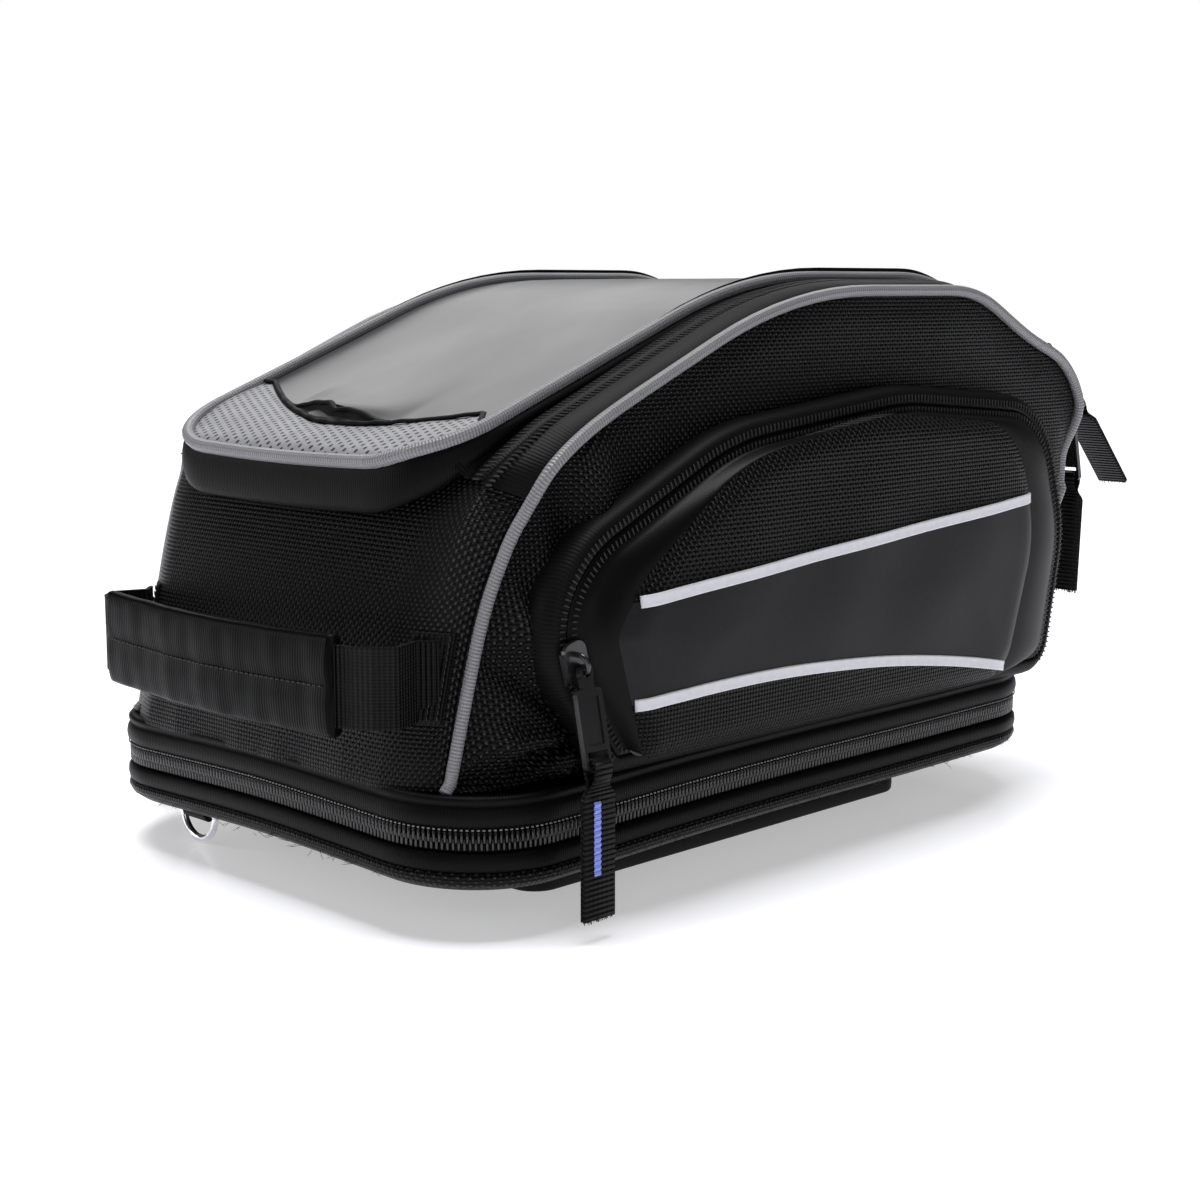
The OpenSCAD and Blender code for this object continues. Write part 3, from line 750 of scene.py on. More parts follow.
def build_side(side, name):
    """One long side: gathered fabric, its lining and the piping round its edge."""
    way = -1 if side == "left" else 1
    edge = resample(arch(CASE_OUTLINE, 0.6, FOOT_Z, FOOT_Z), 170)
    floor = [lerp(edge[-1], edge[0], k / 70) for k in range(1, 70)]
    loop = edge + floor
    centre = (20, 118)
    rows = []
    for t in (0, 0.006, 0.015, 0.03, 0.05, 0.075, 0.1, 0.13, 0.16, 0.19, 0.22, 0.26, 0.3, 0.35,
              0.4, 0.47, 0.55, 0.65, 0.75, 0.86, 0.96, TIP):
        row = []
        for x, z in shrink(loop, centre, t):
            crown = 2.4 * ease(t / 0.12) * (1 - ease((t - 0.3) / 0.3)) - 1.2 * (1 - ease(t / 0.02))
            crown += side_wrinkles(x, z) * ease(t / 0.05) + waves(9, x, z, 70) * 0.5 * ease(t / 0.05)
            row.append(soft_corner(tuck((x, way * (HALF_W + crown), z))))
        rows.append(row)
    panel = grid(name, rows, "case", MAT["nylon"], ring=True, thick=1.2,
                 uv=face_uv)
    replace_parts(panel, "side_" + side)
    inner = resample(arch(CASE_OUTLINE, 7.5, FOOT_Z, FOOT_Z), 90)
    rows = []
    for t in (0, 0.1, 0.2, 0.3, 0.45, 0.6, 0.8, TIP):
        rows.append([soft_corner((x, way * 104.6, z)) for x, z in shrink(inner, centre, t)])
    grid("lining_" + side, rows, "case", MAT["lining"], ring=True, uv=face_uv,
         outward=False)
    seam = resample(arch(CASE_OUTLINE, -0.4, 57, 57), 190)
    path = [soft_corner(tuck((x, way * 112.6, z))) for x, z in seam]
    path = [(path[0][0] - 3.0, path[0][1] + way * 0.5, 54.2)] + path
    pipe = sweep("side_piping_" + side, path, [(0, way, 0)] * len(path), round_profile(2.4, 12),
                 "case", MAT["piping"])
    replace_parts(pipe, "piping_" + side)


build_strip()
build_side("left", "side_panel_left")
build_side("right", "side_panel_right")


# ---- Base band --------------------------------------------------------------

def base_loop(inset, step=3.0):
    x, y = BASE_LEN / 2, BASE_WID / 2
    return outline_loop(rectangle(-x, x, -y, y, CORNER_R), inset, step, arc_steps=20)


def sag(x, y):
    """How much the band droops at its front corners and lifts between them."""
    corner = math.exp(-((x + 150) ** 2 + (abs(y) - 110) ** 2) / 3400)
    middle = math.exp(-((x + 185) ** 2 + y * y) / 2600)
    return 0.9 * middle - 2.0 * corner + 0.35 * waves(21, x, y, 170)


def band(name, profile, body, material):
    """A ring round the base with a cross-section of (distance out, height)."""
    loops = {}
    rows = []
    for out, z in profile:
        loop = loops.setdefault(out, base_loop(-out))
        rows.append([(x, y, z + sag(x, y)) for x, y in loop])
    return grid(name, rows, body, material, ring=True)


def swap_uv(obj):
    """Turns the layout a quarter, for pieces whose length runs along their rows."""
    layer = obj.data.uv_layers["cloth"].data
    for item in layer:
        item.uv = (item.uv[1], item.uv[0])


def build_band():
    """Ribbons, base cloth and the exposed coil zip with its two rows of teeth and a line of stitches, these
    drawn light grey as painted highlights.
    """
    upper = band("upper_ribbon_tape", [(-15, 54.6), (-9, 54.4), (-4.5, 54.8), (-2.6, 55.4), (-1.0, 55.2),
                                       (-0.1, 54.2), (-0.2, 52.9), (-1.2, 52.0), (-0.4, 51.4), (0.5, 49.6),
                                       (0.8, 47.4), (0.5, 45.4), (-0.5, 43.9), (-1.6, 43.4), (-4, 43.4)],
                 "case", MAT["tape"])
    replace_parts(upper, "upper_ribbon")
    swap_uv(upper)
    lower = band("lower_ribbon_tape", [(-4, 34.9), (-1.6, 34.9), (-0.5, 34.4), (0.5, 32.8), (0.7, 30.6),
                                       (0.3, 28.6), (-0.7, 27.3), (-2.4, 26.8)],
                 "base", MAT["tape"])
    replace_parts(lower, "lower_ribbon")
    swap_uv(lower)
    cloth = band("base_cloth", [(-1.2, 27.6), (0.2, 26.8), (0.6, 25.2), (-0.6, 22.8), (-4, 20.4),
                                (-12, 18.9), (-22, 19.6), (-32, 22.4), (-40, 24.6), (-44.9, 25.6)],
                 "base", MAT["nylon"])
    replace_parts(cloth, "base_panel")
    rows = [[(x, y, 25.6) for x, y in shrink(base_loop(40), (0, 0), t)] for t in (0, 0.3, 0.6, 0.9, TIP)]
    grid("base_underside", rows, "base", MAT["nylon"], ring=True, uv=plan_uv)
    for name, body, z in (("lower_zip_tape", "base", 34.6), ("upper_zip_tape", "case", 39.6)):
        rows = [[(x, y, z + 4 * k / 3 + sag(x, y)) for x, y in base_loop(2.6)] for k in range(4)]
        swap_uv(grid(name, rows, body, MAT["zip_tape"], ring=True))
    pitch = 2.0
    loop = base_loop(1.3, 2)
    loop.append(loop[0])
    count = round(running(loop, False)[-1] / pitch)
    spots = resample(loop, count + 1)
    lower_teeth, upper_teeth, glint_dots = [], [], []
    half_sizes = (2.5, 0.62, 1.15)
    for i in range(count):
        (x, y), (x2, y2) = spots[i], spots[(i + 1) % count]
        along = (x2 - x, y2 - y, 0)
        mid = ((x + x2) / 2, (y + y2) / 2)
        droop = sag(x, y)
        upper_teeth.append(((x, y, 40.6 + droop), (0, 0, 1), along, half_sizes))
        lower_teeth.append(((*mid, 37.9 + droop), (0, 0, 1), along, half_sizes))
        glint_dots.append(((x * 1.006, y * 1.009, 43.5 + droop), along, (0, 0, 1), (0.5, 0.34, 0.34)))
    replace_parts(pills("lower_coil_teeth", lower_teeth, "base", MAT["coil"]), "lower_coil")
    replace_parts(pills("upper_coil_teeth", upper_teeth, "case", MAT["coil"]), "upper_coil")
    # The band's stitches are drawn light grey: painted highlights on the stitch row.
    pills("band_stitches", glint_dots, "case", MAT["glint_dots"])


def build_gusset():
    """Pleated ring between the base band and the case."""
    low, high, halves, shallow, deep = 28.6, 50.5, 12, 4.4, 8.4
    rows = []
    for k in range(halves + 1):
        z = low + (high - low) * k / halves
        rows.append([(x, y, z + sag(x, y)) for x, y in base_loop(shallow if k % 2 else deep)])
    ring = grid("expansion_gusset", rows, None, MAT["backing"], ring=True)
    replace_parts(ring, "gusset")
    around = running(base_loop((shallow + deep) / 2), True)[-1]
    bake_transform(ring)


build_band()
build_gusset()


# ---- Underside --------------------------------------------------------------

def pillow(name, corners, z0, z1, body, round_by, crown):
    """A padded slab: rolled edges, sides that pull in and a crowned top over a flat bottom."""
    roll = ((round_by * 1.4, 0.0), (round_by * 0.4, 0.25 * round_by), (0.3, 0.6 * round_by))
    levels = [(inset, z0 + rise) for inset, rise in roll] + [(0.0, (z0 + z1) / 2)]
    levels += [(inset, z1 - drop) for inset, drop in reversed(roll)]
    rows = [[(x, y, z) for x, y in outline_loop(corners, inset, 6)] for inset, z in levels]
    centre = (sum(c[0] for c in corners) / len(corners), sum(c[1] for c in corners) / len(corners))
    flat = outline_loop(corners, round_by * 1.4, 6)
    top = [[(x, y, z1 + crown * ease(t)) for x, y in shrink(flat, centre, t)]
           for t in (0.12, 0.3, 0.55, 0.8, TIP)]
    bottom = [[(x, y, z0) for x, y in shrink(flat, centre, t)] for t in (TIP, 0.8, 0.5, 0.2)]
    obj = grid(name, bottom + rows + top, body, MAT["pad"], ring=True, uv=plan_uv)
    return obj


def build_underside():
    """Padding and foot, the two folded magnet flaps, the ring tabs and lint along the base cloth."""
    upper = pillow("base_padding", rectangle(-150, 150, -84, 84, 25), 10, 25.4, "base", 5, 0.2)
    middle = pillow("base_foot", rectangle(-118, 118, -30, 30, 12), 0, 9.4, "base", 2.5, 0.4)
    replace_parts(upper, "base_pad")
    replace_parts(middle, "base_pad")
    for side, way in (("left", -1), ("right", 1)):
        y0, y1 = sorted((way * 34, way * 85.5))
        flap = pillow("magnet_flap_" + side, rectangle(-118, 118, y0, y1, 12), 0, 8.8, "magnet_flap_" + side,
                      2.4, 0.3)
        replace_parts(flap, "flap_" + side, "magnets_" + side)
        stitches = []
        for centre in (-76, 0, 76):
            for k in range(40):
                a = 2 * math.pi * k / 40
                at = (centre + 18 * math.cos(a), way * 59 + 18 * math.sin(a), 0.25)
                stitches.append((at, (-math.sin(a), math.cos(a), 0), (0, 0, 1), (1.0, 0.25, 0.3)))
        pills("magnet_stitches_" + side, stitches, "magnet_flap_" + side, MAT["stitch"])
    for x, name in ((-166, "front"), (166, "rear")):
        y, r, low = 68, 2.7, 14.5
        path = [(x - 2.2, y, 25.5), (x - r, y, 20), (x - r, y, low)]
        path += [(x - r * math.cos(a), y, low - r * math.sin(a)) for a in (0.6, 1.2, 1.9, 2.5)]
        path += [(x + r, y, low), (x + r, y, 20), (x + 2.2, y, 25.5)]
        ups = [(p[0] - x, 0, min(0, p[2] - low)) for p in path]
        tab = sweep("ring_tab_" + name, path, ups, strap_profile(16, 1.3), "base", MAT["webbing"])
        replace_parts(tab, "ring_tabs")
    lint = []
    spots = base_loop(1.0)
    for _ in range(420):
        x, y = RNG.choice(spots)
        a = RNG.uniform(0, 6.28)
        at = (x + RNG.uniform(-1, 1), y + RNG.uniform(-1, 1), RNG.uniform(20.6, 24.4))
        lint.append((at, (math.cos(a), math.sin(a), RNG.uniform(-0.9, 0.3)), (0, 0, 1),
                     (RNG.uniform(0.8, 2.6), 0.09, 0.09)))
    pills("base_lint", lint, "base", MAT["stitch"])


build_underside()


# ---- Lid --------------------------------------------------------------------

LID_END = lid_skin.length
PIPE_IN = 2.6
INSERT_HALF = 83
MOUTH_Y0, MOUTH_Y1 = -34, 40
MOUTH_MID = (MOUTH_Y0 + MOUTH_Y1) / 2


def lip_bow(y):
    """How far the lip stands forward of its corners."""
    return LIP_BOW * (1 - (y / LID_HALF) ** 2)


def lid_loop(inset):
    """The lid's edge laid flat: s back from the lip, y across, the lip bowed forward."""
    corners = [(0, -LID_HALF, LID_CORNER), (LID_END, -LID_HALF, 10), (LID_END, LID_HALF, 10),
               (0, LID_HALF, LID_CORNER)]
    return [(s - lip_bow(y) * ease(1 - s / 50), y)
            for s, y in outline_loop(corners, inset, arc_steps=10)]


def lip_depth(s):
    """Depth of the lid's skirt: deep at the front lip and shallow along the sides."""
    return 4.6 + 12.4 * ease(1 - s / 46)


def lid_point(s, y, h, sink=0.0):
    """A point on the lid, sink millimetres straight below its top skin."""
    x, y, z = lid_skin.at(s, y, h)
    nx, _, nz = lid_skin.up(s)
    down = ease(1 - s / 60)
    return x - nx * sink * (1 - down), y, z - nz * sink * (1 - down) - sink * down


def build_lid_border():
    """Rolled rim, the skirt below it and the flange behind."""
    rows = []
    for inset, h in ((9, -1.4), (6, -0.6), (4.4, -0.2), (PIPE_IN, 0.0), (1.2, -0.1), (0.4, -0.8)):
        rows.append([lid_point(s, y, h) for s, y in lid_loop(inset)])
    for share, out in ((0.12, 0.5), (0.3, 1.2), (0.5, 1.5), (0.7, 1.2), (0.88, 0.3), (1.0, -1.2),
                       (0.98, -2.6)):
        rows.append([lid_point(s, y, -0.5, 0.6 + (lip_depth(s) - 0.6) * share) for s, y in lid_loop(-out)])
    for inset, h in ((4.4, -4.0), (16, -4.4)):
        rows.append([lid_point(s, y, h) for s, y in lid_loop(inset)])
    border = grid("lid_border_tape", rows, "lid", MAT["tape"], ring=True)
    swap_uv(border)
    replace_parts(border, "lid_border")


def build_lid_piping():
    flat = lid_loop(PIPE_IN)
    path = [lid_skin.at(s, y, 0.9) for s, y in flat]
    ups = [lid_skin.up(s) for s, y in flat]
    pipe = sweep("lid_rim_piping", path, ups, round_profile(2.7, 12), "lid", MAT["piping"],
                 closed=True)
    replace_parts(pipe, "lid_piping")


def build_window():
    """The vinyl window inside the piping and the backing sheet below it."""
    centre = (LID_END * 0.5, 0)
    inset, under = PIPE_IN + 1, 5
    rows = []
    for t in [0, 0.015, 0.035] + [0.035 + 0.9646 * k / 40 for k in range(1, 41)]:
        rise, sink = ease(t / 0.06), 0.4 * (1 - ease(t / 0.05))
        rows.append([lid_skin.at(s, y, window_height(s, y) * rise - sink)
                     for s, y in shrink(lid_loop(inset), centre, t)])
    window = grid("map_window_sheet", rows, "lid", MAT["vinyl"], ring=True, uv=plan_uv)
    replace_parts(window, "map_window")
    rows = [[lid_skin.at(s, y, -5.0) for s, y in shrink(lid_loop(under), centre, t)]
            for t in (0, 0.1, 0.25, 0.4, 0.55, 0.7, 0.85, TIP)]
    backing = grid("lid_backing", rows, "lid", MAT["lining"], ring=True, uv=plan_uv,
                   outward=False)
    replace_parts(backing, "map_backing")


def insert_edge(y):
    """How far back the perforated insert reaches: far at the right corner, least in the middle."""
    t = max(-1.0, min(1.0, y / INSERT_HALF))
    return 24 + 30 * abs(t) ** 1.7 + 9 * t - 14 * max(0.0, abs(t) - 0.9) * 10 * (1 if t < 0 else 0.4)


def insert_front(y):
    """The front of the insert, along the inner side of the rim piping."""
    reach = LID_CORNER - PIPE_IN - 1
    corner = max(0.0, (abs(y) - (LID_HALF - LID_CORNER)) / reach)
    return PIPE_IN + 1 - lip_bow(y) + reach * (1 - math.sqrt(max(0.0, 1 - min(1.0, corner) ** 2)))


def window_height(s, y):
    """Soft folds in the vinyl, and the lifted lip behind the mouth."""
    folds = 0.8 * waves(31, s * 0.6 + y * 0.4, y * 0.5, 150) + 0.12 * waves(32, s * 0.7, y, 60)
    middle = (y - MOUTH_MID) / ((MOUTH_Y1 - MOUTH_Y0) / 2)
    lift = max(0.0, 1 - middle * middle)
    back = s - insert_edge(y) - 9
    lip = 4.6 * lift * math.exp(-(back / 16) ** 2) if back > 0 else 4.6 * lift * ease(1 + back / 7)
    return folds * ease((s - 20) / 60) + lip * 0.8


def build_insert():
    """Perforated cloth at the low end and the binding along its curved rear edge."""
    columns = [-INSERT_HALF + 2 * INSERT_HALF * k / 84 for k in range(85)]
    rows = []
    for i in range(19):
        row = []
        for y in columns:
            front = insert_front(y)
            s = front + max(insert_edge(y) - front, 0.4) * i / 18
            row.append(lid_skin.at(s, y, 0.9 + 0.7 * math.sin(math.pi * i / 18) + 0.3 * waves(41, s, y, 34)))
        rows.append(row)
    insert = grid("perforated_insert", rows, "lid", MAT["mesh"], uv=plan_uv, thick=0.5)
    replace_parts(insert, "mesh_insert")
    edge = [(insert_edge(y) + 0.4, y) for y in (-82 + 164 * k / 100 for k in range(101))]
    path = [lid_skin.at(s, y, 1.6 + 0.3 * waves(43, s, y, 14)) for s, y in edge]
    binding = sweep("insert_binding", path, [lid_skin.up(s) for s, _ in edge], round_profile(1.3, 8, 0.6),
                    "lid", MAT["binding"])
    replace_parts(binding, "mouth_binding")


def build_mouth():
    """The map pocket's gaping mouth: a dark hollow and the crumpled bound lip over it."""
    rows = []
    for i in range(9):
        row = []
        for k in range(41):
            y = MOUTH_Y0 + (MOUTH_Y1 - MOUTH_Y0) * k / 40
            swell = max(0.0, 1 - ((y - MOUTH_MID) / 35) ** 2)
            s = insert_edge(y) + 0.6 + (7.5 * swell + 0.4) * i / 8
            height = window_height(s, y) * i / 8 + 1.0 - 1.2 * math.sin(math.pi * i / 8) * swell
            row.append(lid_skin.at(s, y, height + 0.6))
        rows.append(row)
    grid("mouth_hollow", rows, "lid", MAT["backing"])
    lip = []
    for k in range(61):
        y = MOUTH_Y0 - 1 + (MOUTH_Y1 - MOUTH_Y0 + 2) * k / 60
        swell = max(0.0, 1 - ((y - MOUTH_MID) / 36) ** 2)
        crumple = 1.6 * math.exp(-((y + 2) / 5) ** 2)
        s = insert_edge(y) + 0.8 + 8 * swell - crumple * 2
        lip.append((s, y, window_height(s, y) + 1.2 + crumple + 0.5 * waves(45, y, 0, 15)))
    path = [lid_skin.at(*p) for p in lip]
    sweep("mouth_lip_binding", path, [lid_skin.up(p[0]) for p in lip], round_profile(1.4, 8, 0.7),
          "lid", MAT["binding"])


def tape_lift(s, y):
    """How far the zip's tapes stand up to meet the lid's rim, down to nothing at both ends."""
    x = case_skin.at(s, 0)[0]
    return 3.0 * ease((x + 146) / 30) * (1 - ease((x - 110) / 50)) * (1 - ease((abs(y) - 103) / 8))


def zip_point(s, way, y, h):
    """A point h above the strip that carries the lid's zip."""
    return soft_corner(tuck(case_skin.at(s, way * y, h + tape_lift(s, y)), edge_share(y)))


def build_lid_zip():
    """Zip down both sides of the lid: tapes, stitch ticks and the thin line between them."""
    halves = (
        ("lid", "lid_coil", case_skin.s_at_x(-151), case_skin.s_at_x(198), 92.6,
         ((85.6, 7.0), (86.6, 3.4), (87.6, 0.9), (88.6, 1.5), (91.8, 1.7), (94.7, 1.7), (95.9, 0.7))),
        ("case", "top_coil", case_skin.s_at_x(-152), case_skin.length - 118, 99.6,
         ((96.3, 0.6), (97.3, 1.5), (103, 1.7), (109.2, 1.5), (110.4, 0.5))),
    )
    for side, way in (("left", -1), ("right", 1)):
        for half, node, s0, s1, tick_y, profile in halves:
            rows = []
            for k in range(160):
                s = s0 + (s1 - s0) * k / 159
                rows.append([zip_point(s, way, y, h) for y, h in profile])
            tape_half = grid(f"zip_tape_{half}_{side}", rows, half, MAT["zip_tape"])
            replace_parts(tape_half, node)
            ticks = []
            count = round((s1 - s0) / 2.2)
            for k in range(count):
                s = s0 + (s1 - s0) * k / count
                ticks.append((zip_point(s, way, tick_y, 1.75), (0, 1, 0), case_skin.up(s), (2.0, 0.32, 0.42)))
            pills(f"zip_ticks_{half}_{side}", ticks, half, MAT["stitch"])


build_lid_border()
build_lid_piping()
build_window()
build_insert()
build_mouth()
build_lid_zip()


# ---- Side pockets -----------------------------------------------------------

FACE_LOOP = outline_loop(FACE_OUTLINE)
FACE_ROLL = 3.2


def in_face(x, z):
    """Whether a point of the face lies inside its outline."""
    hit = False
    for a, b in zip(FACE_LOOP, FACE_LOOP[1:] + FACE_LOOP[:1]):
        if (a[1] > z) != (b[1] > z) and x < (b[0] - a[0]) * (z - a[1]) / (b[1] - a[1]) + a[0]:
            hit = not hit
    return hit


def face_edge_distance(x, z):
    """How deep inside the face's edge a point lies."""
    best = 1e9
    for a, b in zip(FACE_LOOP, FACE_LOOP[1:] + FACE_LOOP[:1]):
        ax, az, dx, dz = *a, b[0] - a[0], b[1] - a[1]
        t = max(0.0, min(1.0, ((x - ax) * dx + (z - az) * dz) / max(dx * dx + dz * dz, 1e-9)))
        best = min(best, math.hypot(x - ax - dx * t, z - az - dz * t))
    return best


def face_out(x, z, depth):
    """How far out the pocket's face stands, depth millimetres in from its edge."""
    rolled = FACE_ROLL * (1 - min(1.0, depth / 9)) ** 2
    crown = 2.4 * ease(depth / 50) + 0.5 * waves(51, x, z, 60) * ease(depth / 10)
    return FACE_OUT - rolled + crown


def matched_loops(inset):
    """The gusset's and the face's loops with the same number of points, corner by corner."""
    return outline_loop(GUSSET_OUTLINE, inset), outline_loop(FACE_OUTLINE, like=GUSSET_OUTLINE)


def upright(points, w):
    """Points (x, z) stood up in the plane y = w."""
    return [(x, w, z) for x, z in points]


def build_pocket_walls(side, way, body):
    """The fixed gusset out to the zip and the moving rim from the zip to the face."""
    rows = []
    for inset, w in ((0, 108), (-0.4, 113), (-0.6, 117), (0, 120.4), (1.0, 122.6), (2.4, 123.9), (4.2, 124.6),
                     (6.0, 124.9), (6.9, 124.3)):
        rows.append(upright(matched_loops(inset)[0], way * w))
    band_piece = grid("pocket_band_" + side, rows, "case", MAT["zip_tape"], ring=True)
    swap_uv(band_piece)
    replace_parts(band_piece, "pocket_gusset_" + side)

    outer, face = matched_loops(10.4)
    rows = [upright(matched_loops(7.3)[0], way * 124.3), upright(matched_loops(8.2)[0], way * 125.1),
            upright(outer, way * 125.5)]
    for k in range(1, 7):
        t = k / 6
        w = 125.5 + (FACE_OUT - FACE_ROLL - 125.5) * math.sin(t * math.pi / 2) ** 0.8
        rows.append(upright([lerp(a, b, t) for a, b in zip(outer, face)], way * w))
    grid("pocket_rim_" + side, rows, body, MAT["rim"], ring=True)


def build_pocket_face(side, way, body):
    """The crowned face, its lining and the two reflective strips across it."""
    face = matched_loops(0)[1]
    rows = []
    centre = (14, 120)
    for t in [0, 0.02, 0.045, 0.075, 0.11, 0.15] + [0.15 + 0.8496 * k / 20 for k in range(1, 21)]:
        row = []
        for x, z in shrink(face, centre, t):
            row.append((x, way * face_out(x, z, face_edge_distance(x, z)), z))
        rows.append(row)
    front = grid("pocket_face_" + side, rows, body, MAT["face"], ring=True, uv=face_uv)
    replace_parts(front, "pocket_front_" + side)
    rows = [upright(shrink(face, centre, t), way * w)
            for t, w in ((0, 126), (0.3, 131), (0.7, 132), (TIP, 132))]
    grid("pocket_lining_" + side, rows, body, MAT["lining"], ring=True, uv=face_uv,
         outward=False)

    for strip, name in ((UPPER_STRIP, "upper"), (LOWER_STRIP, "lower")):
        path = []
        for k in range(131):
            x = -121 + 270 * k / 130
            z = strip_z(strip, x)
            depth = face_edge_distance(x, z)
            if depth > 0.4 and in_face(x, z):
                path.append((x, way * (face_out(x, z, depth) + 0.35), z))
        obj = sweep(f"pocket_strip_{name}_{side}", path, [(0, way, 0)] * len(path), strap_profile(4.6, 1.3),
                    body, MAT["strip"])
        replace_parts(obj, "pocket_trim_" + side)


def build_pocket_ticks(side, way, body):
    """Stitches of the pocket's zip, one row on the gusset and one on the moving front."""
    for inset, host, w, row in ((4.6, "case", 125.0, "outer"), (9.6, body, 125.7, "inner")):
        ticks = []
        loop = matched_loops(inset)[0]
        loop.append(loop[0])
        count = round(running(loop, False)[-1] / 2.3)
        spots = resample(loop, count + 1)
        for i in range(count):
            (x, z), (x2, z2) = spots[i], spots[i + 1]
            if z < 60 and abs(x2 - x) > abs(z2 - z):
                continue
            ticks.append(((x, way * w, z), (z - z2, 0, x2 - x), (0, way, 0), (1.5, 0.35, 0.42)))
        coil = pills(f"pocket_ticks_{row}_{side}", ticks, host, MAT["stitch"])
        if host == "case":
            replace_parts(coil, "pocket_coil_" + side)


for side, way in (("left", -1), ("right", 1)):
    build_pocket_walls(side, way, "pocket_" + side)
    build_pocket_face(side, way, "pocket_" + side)
    build_pocket_ticks(side, way, "pocket_" + side)


# ---- Handle -----------------------------------------------------------------

def grip_section(y):
    """Flat padded tube, bowed a little and crimped by the seam along its middle."""
    half, thick = 18.5, 3.4
    points = []
    sides = 28
    for k in range(sides):
        a = 2 * math.pi * k / sides
        c, s = math.cos(a), math.sin(a)
        z = half * math.copysign(abs(s) ** 0.8, s)
        x = thick * math.copysign(abs(c) ** 0.45, c)
        x += 0.8 * math.exp(-(z / 1.6) ** 2) if c < 0 else 0.0
        points.append((GRIP_X + 3 + x, y, HANDLE_Z + z))
    return points


def patch_point(y, way, z, h):
    """A point h above the front fabric, at a height z and a distance y from the middle."""
    s = (z - FOOT_Z) * 1.036
    return soft_corner(case_skin.at(s, way * y, case_bulge(s, y) + h))


def rear_point(y, z):
    """A point of the rear fabric round its softened upright corner."""
    return Vector(soft_corner((rear_x(z), y, z)))


def stub_path(way):
    """The short webbing end: sewn into the rear corner at z 106 and hanging plumb from there."""
    y, root_z = 104, 106
    root = rear_point(way * y, root_z)
    along = rear_point(way * (y + 6), root_z) - rear_point(way * (y - 6), root_z)
    out = (Vector((along.y, -along.x, 0)) * way).normalized()
    points = []
    for h, z in ((-2.0, 109), (1.6, 104), (2.6, 92), (2.2, 66)):
        points.append(tuple(root + out * h + Vector((0, 0, z - root_z))))
    return resample(points, 16), tuple(out)


def grip_bow(y):
    """How much of the grip's bow it has at y, from all in the middle to none at its ends."""
    return 1 - (y / GRIP_HALF) ** 2


def build_grip():
    """The padded sleeve and the line of stitches along its seam."""
    rows = []
    for k in range(61):
        y = -GRIP_HALF + 2 * GRIP_HALF * k / 60
        bow = 2.4 * grip_bow(y)
        fold = 0.5 * waves(61, y, 0, 40)
        rows.append([(x - bow + fold + 0.3 * waves(62, y, z, 18), yy, z - 1.4 * grip_bow(y))
                     for x, yy, z in grip_section(y)])
    grip = grid("handle_grip_cover", rows, "handle", MAT["grip"], ring=True, caps=True)
    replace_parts(grip, "handle_grip")
    stitches = []
    for k in range(46):
        y = -68 + 136 * k / 45
        x = GRIP_X - 0.1 - 2.4 * grip_bow(y) + 0.5 * waves(61, y, 0, 40)
        stitches.append(((x, y, HANDLE_Z - 1.4 * grip_bow(y)), (0, 1, 0), (0, 0, 1), (1.1, 0.3, 0.3)))
    pills("handle_stitches", stitches, "handle", MAT["stitch"])


def build_handle_end(name, way):
    """Webbing from the grip round to the front fabric, and the stitched patch it is sewn under."""
    sewn = [patch_point(y, way, HANDLE_Z, 3.2)[:2] for y in (96, 101, 106)]
    free = ((-201, 66), (-201, 73), (-199.5, 79), (-195.5, 86), (-189, 91.5))
    line = [(x, way * y) for x, y in free] + sewn
    path = [(x, y, HANDLE_Z) for x, y in resample(line, 40)]
    ups = [(-1, way * (0.1 + 0.7 * k / 39), 0) for k in range(40)]
    strap = sweep("handle_webbing_" + name, path, ups, strap_profile(30, 1.8), "handle",
                  MAT["webbing"])
    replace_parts(strap, "handle_webbing")
    rows = []
    for k in range(13):
        y = 88 + 20 * k / 12
        rows.append([patch_point(y, way, HANDLE_Z - 16 + 2 * j, 1.6) for j in range(17)])
    patch = grid("handle_patch_" + name, rows, "case", MAT["webbing"], thick=1.6)
    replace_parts(patch, "handle_patches")
    stitches = []
    for y in (90, 94, 102, 106):
        for k in range(13):
            at = patch_point(y, way, HANDLE_Z - 14 + 28 * k / 12, 1.9)
            stitches.append((at, (0, 0, 1), (-1, 0, 0), (0.9, 0.3, 0.3)))
    pills("handle_patch_stitches_" + name, stitches, "case", MAT["stitch"])


def build_stub(name, way):
    path, out = stub_path(way)
    stub = sweep("rear_stub_" + name, path, [out] * len(path), strap_profile(12, 2.2), "case",
                 MAT["webbing"])
    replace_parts(stub, "webbing_stubs")


build_grip()
for side, way in (("left", -1), ("right", 1)):
    build_handle_end(side, way)
    build_stub(side, way)


# ---- Zip pulls --------------------------------------------------------------

def direction(a):
    """The way a degrees up from +X in the side view."""
    return Vector((math.cos(math.radians(a)), 0, math.sin(math.radians(a))))


def lid_pull_frames():
    """Name, puller bar, way the tab hangs and its normal, for both lid pulls round the rear corner."""
    zip_y = -96.2
    (cx, cz), radius, _, _ = corner_centre(CASE_OUTLINE, 3)
    for name, at, pull, hang in (("lid_a", 48, -45.5, -45.5), ("lid_b", 14, -77, -93)):
        hinge = Vector((cx, zip_y, cz)) + direction(at) * (radius + BAIL_Z)
        yield name, hinge + direction(pull) * BAR_X, direction(hang), direction(hang + 90)


